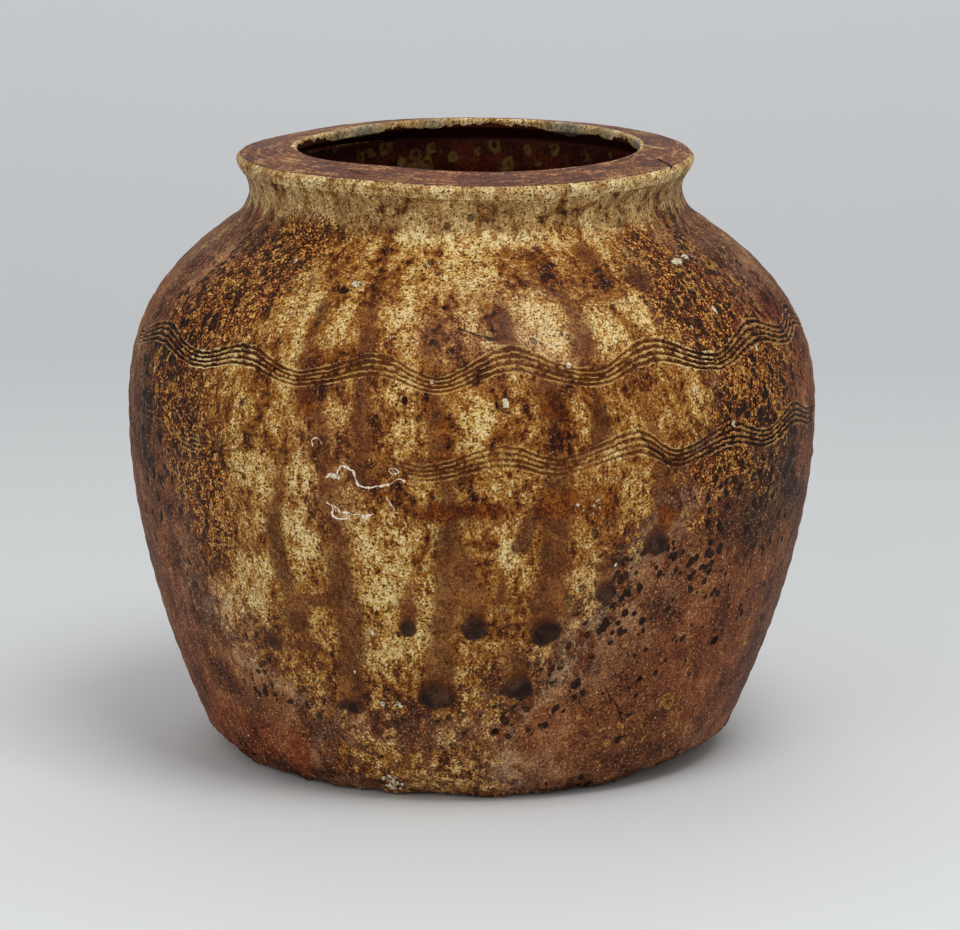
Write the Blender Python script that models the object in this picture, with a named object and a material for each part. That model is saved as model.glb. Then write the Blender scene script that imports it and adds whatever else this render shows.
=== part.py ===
"""A wide-mouthed stoneware oil jar, thrown and fired in one piece.

The wall is lofted from rings, from the flat base up the outside, over the rim and
down the inside. Angles run from the front, at -Y, towards the right, at +X.
"""

import math

import bmesh
import bpy

# Base and foot, in metres
FOOT_RADIUS = 0.0835
HEEL_SPREAD = 0.0085
HEEL_RISE = 0.008
HEEL_BULGE = 0.0005
BASE_THICKNESS = 0.012
FOOT_WEAR = 0.005
FOOT_LIFT = 0.0012

# Body: a full lower wall up to the belly, and a round shoulder above it
BELLY_RADIUS = 0.120
BELLY_RISE = 0.110
SHOULDER_RISE = 0.068
WALL_THICKNESS = 0.0085
LOWER_FULLNESS = 1.8
SHOULDER_FULLNESS = 2.65

# Neck: hollow between the shoulder and the rim
NECK_RADIUS = 0.0753
NECK_RISE = 0.011
SHOULDER_TOP_SPREAD = 0.0057
RIM_FLARE = 0.003
RIM_FLARE_RISE = 0.0065
NECK_SWEEP = 2.3

# Rim: a flange whose flat top falls outwards, and a lip that overhangs the neck
RIM_OVERHANG = 0.0043
RIM_FACE_RISE = 0.0058
RIM_ROUNDING = 0.0016
RIM_TOP_FALL = 0.0022
LIP_OVERHANG = 0.0076
LIP_FACE_DROP = 0.0036
LIP_UNDERCUT_DROP = 0.0048
LIP_ROUNDING = 0.0008

# Combed bands: one comb, drawn round the turning jar with a rocking hand
TINES = 4
TINE_PITCH = 0.002
GROOVE_DEPTH = 0.0006
WAVE_RISE = 0.0034
LOWER_BAND_ABOVE_BELLY = 0.0055
UPPER_BAND_ABOVE_BELLY = 0.0347
LOWER_WAVES = 17
UPPER_WAVES = 14
LOWER_FIRST_CREST = math.radians(2.8)
UPPER_FIRST_CREST = math.radians(8.5)

# How far the soft jar strayed from true on the wheel
BELLY_STRAY = 0.0008
RIM_STRAY = -0.0014
LIP_STRAY = 0.0010
RIM_SAG = 0.0011
RIM_SWELL = 0.0012
RIM_SAG_ANGLE = math.radians(-125)
RIM_SWELL_ANGLE = math.radians(-30)
RIM_WARP_SPREAD = math.radians(26)

# Chips round the foot: angle and spread in degrees, then the share of FOOT_WEAR lost there
FOOT_CHIP_SHARES = (
    (-150, 12, 0.40),
    (-73, 6, 0.70),
    (-50, 7, 0.20),
    (-9, 6, 0.30),
    (27, 6, 0.30),
    (47, 9, 0.80),
    (66, 11, 1.00),
    (131, 9, 0.50),
)

# Columns and rings of the loft
COLUMNS = 64
COMBED_COLUMNS = 2 * COLUMNS
LOWER_WALL_RINGS = 7
MIDDLE_WALL_RINGS = 3
SHOULDER_RINGS = 3
NECK_RINGS = 2
INSIDE_WALL_RINGS = 4
INSIDE_SHOULDER_RINGS = 3
SLOPE_STEP_SHARE = 0.001

# Heights and radii that follow from the sizes above
BELLY_HEIGHT = HEEL_RISE + BELLY_RISE
SHOULDER_HEIGHT = BELLY_HEIGHT + SHOULDER_RISE
NECK_HEIGHT = SHOULDER_HEIGHT + NECK_RISE
RIM_FOOT_HEIGHT = NECK_HEIGHT + RIM_FLARE_RISE
RIM_HEIGHT = RIM_FOOT_HEIGHT + RIM_FACE_RISE
MOUTH_HEIGHT = RIM_HEIGHT + RIM_TOP_FALL
LIP_FOOT_HEIGHT = MOUTH_HEIGHT - LIP_FACE_DROP
HEEL_RADIUS = FOOT_RADIUS + HEEL_SPREAD
RIM_RADIUS = NECK_RADIUS + RIM_OVERHANG
THROAT_RADIUS = NECK_RADIUS - WALL_THICKNESS
MOUTH_RADIUS = THROAT_RADIUS - LIP_OVERHANG
LOWER_BAND_HEIGHT = BELLY_HEIGHT + LOWER_BAND_ABOVE_BELLY
UPPER_BAND_HEIGHT = BELLY_HEIGHT + UPPER_BAND_ABOVE_BELLY
BAND_HALF_HEIGHT = TINES * TINE_PITCH / 2
BAND_BLEND = (UPPER_BAND_HEIGHT - LOWER_BAND_HEIGHT) / 2 - BAND_HALF_HEIGHT

CLAY_COLOUR = (0.20, 0.085, 0.035, 1)
CLAY_ROUGHNESS = 0.5
SHARP_ANGLE = math.radians(38)


def eased(share):
    """A smooth step from 0 to 1."""
    share = min(max(share, 0), 1)
    return share * share * (3 - 2 * share)


def swell(angle, place, spread):
    """A smooth bump of height 1 at one place round the jar."""
    apart = math.remainder(angle - place, math.tau)
    return math.exp(-((apart / spread) ** 2))


def between(first, last, count):
    """Heights spaced evenly between two others, which are left out."""
    return [first + (last - first) * step / (count + 1) for step in range(1, count + 1)]


def wall_radius(height):
    """The outside radius of the body and the neck."""
    if height <= BELLY_HEIGHT:
        fall = (BELLY_HEIGHT - height) / BELLY_RISE
        return BELLY_RADIUS - (BELLY_RADIUS - HEEL_RADIUS) * fall**LOWER_FULLNESS
    if height <= SHOULDER_HEIGHT:
        rise = (height - BELLY_HEIGHT) / SHOULDER_RISE
        drawn_in = BELLY_RADIUS - NECK_RADIUS - SHOULDER_TOP_SPREAD
        return BELLY_RADIUS - drawn_in * rise**SHOULDER_FULLNESS
    if height <= NECK_HEIGHT:
        fall = (NECK_HEIGHT - height) / NECK_RISE
        return NECK_RADIUS + SHOULDER_TOP_SPREAD * fall**NECK_SWEEP
    rise = (height - NECK_HEIGHT) / RIM_FLARE_RISE
    return NECK_RADIUS + RIM_FLARE * rise**NECK_SWEEP


def inside_point(height):
    """The radius and height one wall's thickness inside the outer wall, square to it."""
    step = MOUTH_HEIGHT * SLOPE_STEP_SHARE
    slope = (wall_radius(height + step) - wall_radius(height - step)) / (2 * step)
    across = math.hypot(1, slope)
    radius = wall_radius(height) - WALL_THICKNESS / across
    return radius, height + WALL_THICKNESS * slope / across


def wave(angle, height):
    """How far the comb lifts a ring at this angle: fully within a band, less beside it."""
    lift = 0
    for band_height, waves, first_crest in (
        (LOWER_BAND_HEIGHT, LOWER_WAVES, LOWER_FIRST_CREST),
        (UPPER_BAND_HEIGHT, UPPER_WAVES, UPPER_FIRST_CREST),
    ):
        outside = abs(height - band_height) - BAND_HALF_HEIGHT
        share = 1 - eased(outside / BAND_BLEND)
        lift += share * WAVE_RISE * math.cos(waves * (angle - first_crest))
    return lift


def rim_warp(angle):
    """How far the rim stands above or below level."""
    rise = RIM_SWELL * swell(angle, RIM_SWELL_ANGLE, RIM_WARP_SPREAD)
    return rise - RIM_SAG * swell(angle, RIM_SAG_ANGLE, RIM_WARP_SPREAD)


def stray(height):
    """How far the middle of the jar lies to the right of its axis at this height."""
    belly_share = eased(height / BELLY_HEIGHT)
    rim_share = eased((height - BELLY_HEIGHT) / (RIM_HEIGHT - BELLY_HEIGHT))
    return belly_share * BELLY_STRAY + rim_share * (RIM_STRAY - BELLY_STRAY)


def foot_wear(angle):
    """The share of the foot's edge that is chipped away at this angle."""
    return sum(
        depth_share * swell(angle, math.radians(place), math.radians(spread))
        for place, spread, depth_share in FOOT_CHIP_SHARES
    )


def point(radius, height, angle, aside=0):
    """A point of the jar; aside moves it to the right of the middle at that height."""
    middle = stray(height) + aside
    return middle + radius * math.sin(angle), -radius * math.cos(angle), height


def angles(columns=COLUMNS):
    return [math.tau * column / columns for column in range(columns)]


def level_ring(radius, height):
    return [point(radius, height, angle) for angle in angles()]


def worn_ring(radius, height, wear_share):
    """A ring of the foot, drawn in and lifted where it is chipped."""
    ring = []
    for angle in angles():
        worn = wear_share * foot_wear(angle)
        ring.append(point(radius - FOOT_WEAR * worn, height + FOOT_LIFT * worn, angle))
    return ring


def wall_ring(height, columns=COLUMNS, depth=0):
    """A ring of the outer wall that follows the waves, sunk by the depth of a groove."""
    ring = []
    for angle in angles(columns):
        lifted = height + wave(angle, height)
        ring.append(point(wall_radius(lifted) - depth, lifted, angle))
    return ring


def rim_ring(radius, height, warp_share=1, aside=0):
    ring = []
    for angle in angles():
        warped = height + warp_share * rim_warp(angle)
        ring.append(point(radius, warped, angle, aside))
    return ring


def foot_rings():
    """From the flat base round the heel to the wall."""
    return [
        level_ring(FOOT_RADIUS - 2 * FOOT_WEAR, 0),
        worn_ring(FOOT_RADIUS, 0, 1),
        worn_ring(FOOT_RADIUS + HEEL_SPREAD / 2 + HEEL_BULGE, HEEL_RISE / 2, 1 / 2),
        worn_ring(HEEL_RADIUS, HEEL_RISE, 1 / 8),
    ]


def band_rings(band_height):
    """Ridges at the wall's surface, and between them the grooves that the tines cut."""
    rings = []
    for step in range(2 * TINES + 1):
        height = band_height - BAND_HALF_HEIGHT + step * TINE_PITCH / 2
        depth = GROOVE_DEPTH if step % 2 else 0
        rings.append(wall_ring(height, COMBED_COLUMNS, depth))
    return rings


def body_rings():
    """The outer wall from the heel to the top of the shoulder, with its two combed bands."""
    lower_edge = LOWER_BAND_HEIGHT - BAND_HALF_HEIGHT - BAND_BLEND
    upper_edge = UPPER_BAND_HEIGHT + BAND_HALF_HEIGHT + BAND_BLEND
    lower_band_top = LOWER_BAND_HEIGHT + BAND_HALF_HEIGHT
    upper_band_foot = UPPER_BAND_HEIGHT - BAND_HALF_HEIGHT
    rings = [wall_ring(height) for height in between(HEEL_RISE, lower_edge, LOWER_WALL_RINGS)]
    rings.append(wall_ring(lower_edge))
    rings += band_rings(LOWER_BAND_HEIGHT)
    for height in between(lower_band_top, upper_band_foot, MIDDLE_WALL_RINGS):
        rings.append(wall_ring(height, COMBED_COLUMNS))
    rings += band_rings(UPPER_BAND_HEIGHT)
    rings.append(wall_ring(upper_edge))
    for height in between(upper_edge, SHOULDER_HEIGHT, SHOULDER_RINGS):
        rings.append(wall_ring(height))
    return rings


def neck_rings():
    """The hollow of the neck, from the shoulder to the underside of the rim."""
    lower = between(SHOULDER_HEIGHT, NECK_HEIGHT, NECK_RINGS)
    upper = between(NECK_HEIGHT, RIM_FOOT_HEIGHT, NECK_RINGS)
    rings = [wall_ring(height) for height in (SHOULDER_HEIGHT, *lower, NECK_HEIGHT)]
    return rings + [rim_ring(wall_radius(height), height, 1 / 2) for height in upper]


def rim_rings():
    """Up the outer face of the rim, in along its flat top and down the lip."""
    return [
        rim_ring(wall_radius(RIM_FOOT_HEIGHT), RIM_FOOT_HEIGHT),
        rim_ring(RIM_RADIUS, RIM_FOOT_HEIGHT + RIM_FACE_RISE / 2),
        rim_ring(RIM_RADIUS, RIM_HEIGHT - RIM_ROUNDING),
        rim_ring(RIM_RADIUS - RIM_ROUNDING, RIM_HEIGHT),
        rim_ring(MOUTH_RADIUS + LIP_ROUNDING, MOUTH_HEIGHT, aside=LIP_STRAY),
        rim_ring(MOUTH_RADIUS, MOUTH_HEIGHT - LIP_ROUNDING, aside=LIP_STRAY),
        rim_ring(MOUTH_RADIUS, LIP_FOOT_HEIGHT, aside=LIP_STRAY),
    ]


def inside_rings():
    """Down the inside: under the lip, round the shoulder and the belly to the floor."""
    floor_edge = HEEL_RISE + BASE_THICKNESS + WALL_THICKNESS
    heights = [NECK_HEIGHT, (NECK_HEIGHT + SHOULDER_HEIGHT) / 2, SHOULDER_HEIGHT]
    heights += between(SHOULDER_HEIGHT, BELLY_HEIGHT, INSIDE_SHOULDER_RINGS)
    heights.append(BELLY_HEIGHT)
    heights += between(BELLY_HEIGHT, floor_edge, INSIDE_WALL_RINGS)
    heights.append(floor_edge)
    under_lip = level_ring(THROAT_RADIUS, LIP_FOOT_HEIGHT - LIP_UNDERCUT_DROP)
    wall = [level_ring(*inside_point(height)) for height in heights]
    floor_radius = inside_point(floor_edge)[0] - WALL_THICKNESS
    return [under_lip, *wall, level_ring(floor_radius, BASE_THICKNESS)]


def bridged(bm, lower, upper):
    """Faces between two rings with as many points, or with twice as many on one of them."""
    if len(lower) == len(upper):
        for place in range(len(lower)):
            bm.faces.new((lower[place - 1], lower[place], upper[place], upper[place - 1]))
        return
    widening = len(upper) > len(lower)
    coarse, fine = (lower, upper) if widening else (upper, lower)
    for place in range(len(coarse)):
        start, end = coarse[place - 1], coarse[place]
        first, middle, last = fine[2 * place - 2], fine[2 * place - 1], fine[2 * place]
        for corners in ((start, end, middle), (start, middle, first), (middle, end, last)):
            bm.faces.new(corners if widening else corners[::-1])


def lofted(bm, rings):
    """The skin through all the rings, closed across the base and across the floor."""
    loops = [[bm.verts.new(corner) for corner in ring] for ring in rings]
    for lower, upper in zip(loops, loops[1:]):
        bridged(bm, lower, upper)
    bm.faces.new(loops[0][::-1])
    bm.faces.new(loops[-1])


def clay_material():
    material = bpy.data.materials.new("stoneware")
    material.use_nodes = True
    shader = material.node_tree.nodes["Principled BSDF"]
    shader.inputs["Base Color"].default_value = CLAY_COLOUR
    shader.inputs["Roughness"].default_value = CLAY_ROUGHNESS
    return material


def make_jar():
    bm = bmesh.new()
    lofted(bm, foot_rings() + body_rings() + neck_rings() + rim_rings() + inside_rings())
    mesh = bpy.data.meshes.new("jar")
    bm.to_mesh(mesh)
    bm.free()
    mesh.shade_smooth()
    mesh.set_sharp_from_angle(angle=SHARP_ANGLE)
    mesh.materials.append(clay_material())
    jar = bpy.data.objects.new("jar", mesh)
    bpy.context.scene.collection.objects.link(jar)


for leftover in list(bpy.data.objects):
    bpy.data.objects.remove(leftover)
make_jar()
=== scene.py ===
"""Dresses the oil jar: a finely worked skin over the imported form, its clay, ash and glaze.

Lengths are in millimetres unless a name says otherwise. Places on the jar are given by
angle, in degrees from the front towards the right, and by height above its base.
"""

import math

import bpy
import numpy as np
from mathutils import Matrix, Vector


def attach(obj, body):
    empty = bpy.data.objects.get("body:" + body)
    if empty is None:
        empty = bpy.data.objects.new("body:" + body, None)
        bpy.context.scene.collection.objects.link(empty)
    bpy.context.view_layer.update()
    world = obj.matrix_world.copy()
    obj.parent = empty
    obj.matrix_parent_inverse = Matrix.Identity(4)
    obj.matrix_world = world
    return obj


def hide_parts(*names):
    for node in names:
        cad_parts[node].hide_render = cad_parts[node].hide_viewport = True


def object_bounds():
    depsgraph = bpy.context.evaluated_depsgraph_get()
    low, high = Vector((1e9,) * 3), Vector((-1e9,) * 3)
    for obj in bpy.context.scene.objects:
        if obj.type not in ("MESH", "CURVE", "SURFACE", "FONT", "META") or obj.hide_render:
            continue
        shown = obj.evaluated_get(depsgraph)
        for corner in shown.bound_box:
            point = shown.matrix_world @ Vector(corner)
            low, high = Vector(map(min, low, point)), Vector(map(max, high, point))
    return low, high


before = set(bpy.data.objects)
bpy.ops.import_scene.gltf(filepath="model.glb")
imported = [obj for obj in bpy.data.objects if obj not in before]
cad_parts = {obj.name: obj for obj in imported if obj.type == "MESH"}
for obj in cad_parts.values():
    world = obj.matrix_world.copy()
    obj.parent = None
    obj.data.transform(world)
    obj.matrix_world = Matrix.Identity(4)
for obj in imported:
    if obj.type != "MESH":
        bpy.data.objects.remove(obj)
cad_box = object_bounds()

MM = 0.001

# The turned form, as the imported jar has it
FOOT_RADIUS, HEEL_SPREAD, HEEL_RISE, HEEL_BULGE = 83.5, 8.5, 8.0, 0.5
BASE_THICKNESS, FOOT_WEAR, FOOT_LIFT = 12.0, 5.0, 1.2
BELLY_RADIUS, BELLY_RISE, SHOULDER_RISE, WALL_THICKNESS = 120.0, 110.0, 68.0, 8.5
LOWER_FULLNESS, SHOULDER_FULLNESS = 1.8, 2.65
NECK_RADIUS, NECK_RISE, SHOULDER_TOP_SPREAD = 75.3, 11.0, 5.7
RIM_FLARE, RIM_FLARE_RISE, NECK_SWEEP = 3.0, 6.5, 2.3
RIM_OVERHANG, RIM_FACE_RISE, RIM_ROUNDING, RIM_TOP_FALL = 4.3, 5.8, 1.6, 2.2
LIP_OVERHANG, LIP_FACE_DROP, LIP_UNDERCUT_DROP, LIP_ROUNDING = 7.6, 3.6, 4.8, 0.8
BELLY_STRAY, RIM_STRAY, LIP_STRAY = 0.8, -1.4, 1.0
RIM_SAG, RIM_SAG_ANGLE, RIM_SWELL, RIM_SWELL_ANGLE, RIM_WARP_SPREAD = 1.1, -125, 1.2, -30, 26

BELLY_HEIGHT = HEEL_RISE + BELLY_RISE
SHOULDER_HEIGHT = BELLY_HEIGHT + SHOULDER_RISE
NECK_HEIGHT = SHOULDER_HEIGHT + NECK_RISE
RIM_FOOT_HEIGHT = NECK_HEIGHT + RIM_FLARE_RISE
RIM_HEIGHT = RIM_FOOT_HEIGHT + RIM_FACE_RISE
MOUTH_HEIGHT = RIM_HEIGHT + RIM_TOP_FALL
LIP_FOOT_HEIGHT = MOUTH_HEIGHT - LIP_FACE_DROP
HEEL_RADIUS = FOOT_RADIUS + HEEL_SPREAD
RIM_RADIUS = NECK_RADIUS + RIM_OVERHANG
THROAT_RADIUS = NECK_RADIUS - WALL_THICKNESS
MOUTH_RADIUS = THROAT_RADIUS - LIP_OVERHANG

# How much of the foot's wear reaches each height
FOOT_WEAR_REACH = ((0, HEEL_RISE / 2, HEEL_RISE, 2 * HEEL_RISE), (1, 0.5, 0.12, 0))

# The sloping line that parts the lip's top from its underside
LIP_SLOPE = 0.35
LIP_TOP_LIMIT = MOUTH_HEIGHT - 0.9 + LIP_SLOPE * MOUTH_RADIUS

# The comb's bands, and the turns of its wave where the front shows them
TINES, TINE_PITCH = 4, 2.0
BAND_HALF = TINES * TINE_PITCH / 2
LOWER_BAND, UPPER_BAND = BELLY_HEIGHT + 5.5, BELLY_HEIGHT + 34.7
BAND_BLEND = (UPPER_BAND - LOWER_BAND) / 2 - BAND_HALF
LOWER_TURNS = (
    (-61, 125.4), (-56, 122.8), (-50, 121.0), (-45, 123.2), (-40, 125.2), (-29.6, 121.6), (-18, 124.6),
    (-12, 121.4), (-8, 119.8), (-4, 121.0), (0, 123.6), (4, 125.6), (8, 124.8), (11, 122.6), (14, 121.4),
    (17, 122.4), (20, 124.2), (23, 126.0), (26.6, 127.7), (29, 127.3), (31, 125.0), (33, 122.2),
    (35.4, 120.8), (38, 121.6), (42, 123.8), (46, 125.6), (49, 125.4), (52, 123.4), (55, 121.6),
    (57.4, 121.2), (60.6, 122.6), (64, 124.8), (68, 125.8), (71, 124.2), (75, 121.6), (80, 121.2),
)
UPPER_TURNS = (
    (-80, 147.4), (-76, 149.6), (-72, 152.0), (-68, 153.6), (-65.6, 153.7), (-62, 152.4), (-58, 150.2),
    (-54, 149.2), (-51, 149.4), (-48, 150.8), (-45, 152.6), (-42, 153.4), (-39.6, 153.1), (-36, 151.0),
    (-33, 149.2), (-30, 148.3), (-27, 149.3), (-24, 150.6), (-20.6, 152.7), (-17, 154.4), (-14.4, 154.2),
    (-12, 153.0), (-9, 150.4), (-6, 148.8), (-3.6, 149.2), (-1, 151.2), (2, 153.9), (5, 156.2),
    (7.6, 156.8), (10, 156.0), (13, 153.8), (16, 151.8), (19, 150.4), (21.6, 150.0), (24, 150.8),
    (27, 153.2), (30, 155.5), (33.4, 156.6), (36, 156.0), (39, 153.8), (42, 151.6), (45, 150.4),
    (47.6, 150.0), (50, 151.0), (53, 153.0), (56, 154.8), (60, 156.0), (63, 155.5), (66, 153.8),
    (69, 152.1), (71.6, 151.6), (75, 152.6), (79, 154.8),
)
# How much wider the comb's band is than its usual width, in the lower band and the upper
LOWER_SPREAD, UPPER_SPREAD, WAVE_SPREAD = -0.1, -0.16, 0.045
# How clearly the comb shows through the glaze: angle and share
LOWER_CLEAR_SHARES = (
    (-80, 0.4), (-66, 0.1), (-57, 0.2), (-51, 0.45), (-40, 0.4), (-34, 0.2), (-27, 0.15), (-16, 0.15),
    (-10, 0.6), (0, 0.85), (5, 0.7), (9, 0.7), (14, 0.7), (20, 0.7), (24, 0.8), (34, 0.9), (40, 0.65),
    (50, 0.8), (72, 0.8), (90, 0.7), (130, 0.6), (180, 0.9), (235, 0.5),
)
UPPER_CLEAR_SHARES = (
    (-80, 0.9), (-60, 1), (-46, 1), (-38, 0.85), (-33, 0.75), (-28, 0.75), (-24, 0.95), (-18, 0.9),
    (-12, 0.8), (-7, 0.85), (0, 1), (9, 1), (13, 0.8), (19, 1), (24, 0.9), (30, 1), (37, 1), (72, 1),
    (110, 0.8), (150, 1), (200, 0.7), (240, 0.9),
)
# How black the comb's grooves are, brown under the glaze and black on the sides; their darkness is partly
# painted shade in the grooves
BLACK_GROOVE_SHARES = ((-80, 1), (-46, 1), (-36, 0.3), (-28, 0), (28, 0), (40, 0.8), (48, 1), (180, 0.8))
LOWER_BACK_TURNS, UPPER_BACK_TURNS = 22, 17
BACK_WAVE_RISE = 3.2
COMB_BANDS = (
    (LOWER_BAND, LOWER_TURNS, LOWER_BACK_TURNS, LOWER_SPREAD),
    (UPPER_BAND, UPPER_TURNS, UPPER_BACK_TURNS, UPPER_SPREAD),
)

# Chips round the foot: angle, spread in degrees, and the share of the foot's wear lost there
FOOT_CHIP_SHARES = (
    (-150, 12, 0.40), (-73, 6, 0.70), (-50, 7, 0.20), (-9, 6, 0.30), (27, 6, 0.30), (47, 9, 0.80),
    (66, 11, 1.00), (131, 9, 0.50),
)

# Spacing of the skin's rows and columns
FRONT_HALF_ANGLE = 86
FRONT_STEP_ANGLE, BACK_STEP_ANGLE = 0.27, 0.54
WALL_STEP, COMB_STEP, BASE_STEP, HEEL_STEP, RIM_STEP = 0.54, 0.28, 3.0, 0.6, 0.42
THROAT_STEP, INSIDE_STEP, THROAT_DEPTH = 0.75, 3.0, 24
OUTLINE_STEP = 0.1

# Where the ash lies thick enough to melt: height, left edge and right edge
ASH_EDGES = (
    (0, -27, 16), (12, -29, 10), (22, -31, 6), (32, -33, 5), (42, -40, 9), (52, -49, 14), (65, -54, 19),
    (80, -55, 25), (95, -56, 30), (112, -56, 35), (130, -56, 42), (146, -56, 47), (156, -51, 44),
    (164, -46, 39), (172, -40, 39), (182, -40, 44), (190, -52, 54), (197, -74, 66), (204, -80, 74),
    (212, -90, 90),
)
ASH_SOFTNESS = 9
# The share of the ash that is left low on the wall, and where the crust on the neck begins
LOW_ASH_SHARES = ((0, 24, 48, 70), (0.66, 0.58, 0.78, 1))
NECK_ASH_HEIGHT = 189.5

# Pools of pale ash, and one painted highlight line below the neck: angle, height, half width, half height,
# share
PALE_POOL_AND_HIGHLIGHT_SHARES = (
    (-36, 184, 5, 6, 0.5), (-34, 172, 6, 8, 0.6), (-38, 163, 6, 6, 0.5), (-31, 163, 4, 9, 0.7),
    (-24, 163, 7, 8, 0.7), (-20, 186, 6, 4, 0.3), (-13, 168, 6, 7, 0.7), (-13, 182, 7, 5, 0.3),
    (-4, 178, 5, 5, 0.6), (-4, 186, 6, 4, 0.5), (2, 180, 6, 5, 0.7), (1, 168, 5, 4, 0.6),
    (4, 160, 5, 4, 0.5), (12, 172, 6, 5, 0.8), (17, 164, 9, 8, 1.0), (25, 168, 6, 6, 0.8),
    (26, 160, 5, 5, 0.6), (34, 170, 6, 5, 0.6), (22, 186, 8, 4, 0.5), (35, 184, 6, 6, 0.5),
    # (6, 190.6, 34, 2.4, 1.1) is a painted highlight: the overhead lamp's line of reflection below the neck
    (45, 187, 6, 5, 0.3), (6, 190.6, 34, 2.4, 1.1), (37, 145, 9, 8, 0.4), (33, 135, 5, 5, 0.5),
    (8, 150, 4, 5, 0.5), (-13, 147, 8, 5, 0.6), (-22, 137, 5, 6, 0.7), (-31, 138, 6, 10, 0.5),
    (-42, 145, 7, 5, 0.5), (-9, 135, 5, 10, 0.6), (0, 134, 6, 8, 0.7), (18, 137, 4, 8, 0.6),
    (9, 133, 5, 5, 0.4), (-16, 124, 5, 5, 0.7), (-28, 122, 5, 5, 0.5), (-42, 133, 5, 8, 0.5),
    (20, 124, 7, 3, 0.4), (-36, 114, 7, 6, 0.6), (-29, 115, 5, 8, 0.5), (-42, 108, 6, 8, 0.5),
    (4, 118, 6, 7, 0.6), (5, 98, 5, 12, 0.5), (-12, 94, 6, 9, 0.6), (-17, 100, 5, 8, 0.5),
    (-29, 98, 5, 9, 0.6), (8, 94, 4, 9, 0.6), (25, 113, 6, 8, 0.5), (19, 96, 5, 8, 0.4),
    (-38, 78, 8, 8, 0.7), (-45, 68, 6, 6, 0.5), (-38, 66, 8, 6, 0.7), (-27, 64, 6, 7, 0.6),
    (-17, 84, 5, 8, 0.5), (-16, 75, 4, 6, 0.5), (-28, 85, 6, 6, 0.5), (-9, 80, 6, 8, 0.5),
    (8, 84, 6, 6, 0.5), (-16, 54, 6, 6, 0.5), (-8, 60, 4, 6, 0.5), (-19, 20, 8, 8, 0.5),
    (-16, 36, 4, 4, 0.8), (3, 56, 4, 6, 0.3), (6, 9, 20, 7, 0.7),
)

# Brown runs in the glaze, each from its top down: its half width and the points it passes
RUNS = (
    (3.2, ((-29, 178), (-29, 162), (-28.6, 150), (-27.4, 142), (-25.4, 136), (-24.4, 124),
           (-23.4, 110), (-22.2, 98), (-22, 84), (-21, 72), (-20.6, 60), (-21.6, 50), (-22.4, 36))),
    (2.4, ((-18, 180), (-18.4, 162), (-18, 148), (-17.4, 138), (-17.4, 126), (-18, 116))),
    (3.0, ((-7, 168), (-6, 152), (-5.4, 140), (-5, 130), (-4, 118), (-3.2, 106), (-4, 94),
           (-4.6, 80), (-4.6, 65), (-5.6, 52), (-6, 43))),
    (2.6, ((-2.4, 98), (-1, 88), (0.2, 80), (0.6, 70))),
    (3.4, ((12.4, 156), (13, 142), (13.4, 128), (14, 115), (14, 100), (13.6, 86), (13, 75), (13, 66))),
    (2.4, ((4.6, 84), (5.6, 70), (7, 60), (8.6, 50), (8.8, 45))),
    (2.8, ((28.6, 148), (29.4, 136), (31, 124), (32.4, 112), (32.2, 96))),
    (2.8, ((-33.6, 128), (-32.2, 112), (-34, 98), (-33.6, 88), (-32, 80), (-31.4, 70), (-31.4, 62))),
    (2.2, ((21.4, 148), (20.8, 138), (20.6, 128))),
    (2.4, ((20.6, 178), (21, 166), (21, 158))),
    (2.6, ((6.6, 176), (6.4, 164), (9.4, 158))),
    (2.2, ((22.4, 92), (23, 80))),
    (2.0, ((-10.4, 82), (-10.7, 68))),
    (2.0, ((10.4, 112), (8.8, 100), (8.4, 94))),
)

# Dark pools of glaze, mostly where the runs end: angle, height, half width, half height, share
DROP_SHARES = (
    (-22.6, 34.6, 5.6, 2.9, 0.9), (-6, 40.2, 6.2, 4.7, 1.0), (8.8, 43.4, 5.8, 4.4, 1.0),
    (0.8, 66.2, 4.8, 4.4, 1.0), (13, 64, 5.4, 4.8, 1.0), (-10.7, 65.6, 4.0, 3.6, 0.85),
    (23, 76.6, 4.6, 4.0, 0.9), (31.8, 92.6, 5.2, 4.8, 1.0), (-37.2, 54.2, 4.0, 2.6, 0.8),
)
# Brown pools over the ash: angle, height, half width, half height, share
BROWN_POOL_SHARES = (
    (-26, 72.4, 6.4, 2.4, 1.1), (-30, 54.6, 8, 2.2, 0.8), (-2, 88.4, 4.4, 3.8, 1.0), (0, 72, 6.8, 3.6, 1.2),
    (13.2, 71, 5.4, 5, 1.1), (32.4, 99.4, 6.8, 3.6, 1.3), (38.1, 176.6, 5.8, 3.6, 1.3),
    (21.4, 168, 4, 4, 0.6), (-40, 90, 5, 5, 0.5), (24, 80.6, 5, 3, 0.7), (-37, 57, 5, 3, 0.7),
    (6, 66, 4, 2.4, 0.8), (-6, 45, 3.4, 4, 0.9), (-22.4, 38, 3.6, 4, 0.9), (30, 186, 5, 4, 0.5),
    (-33, 176, 4, 4, 0.5),
)

# Amber pools: angle, height, half width, half height, share
AMBER_SHARES = (
    (-4.4, 106.8, 7.6, 3.0, 1.15), (3, 107.4, 7, 2.4, 0.9), (13.4, 109, 6, 4.6, 0.9),
    (22, 108, 4, 4.4, 0.7), (32.6, 101, 5.4, 4.6, 1.2), (-24, 152, 5, 6, 0.5), (-6, 136, 6, 9, 0.4),
    (14, 140, 5, 9, 0.5), (-27.4, 141, 4.4, 5, 0.5), (-6, 150.4, 6, 4, 0.4), (30, 128, 5, 4, 0.4),
    (-6, 122, 9, 4, 0.5), (12, 120, 7, 4, 0.35), (40, 118, 7, 4, 0.5),
)

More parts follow.
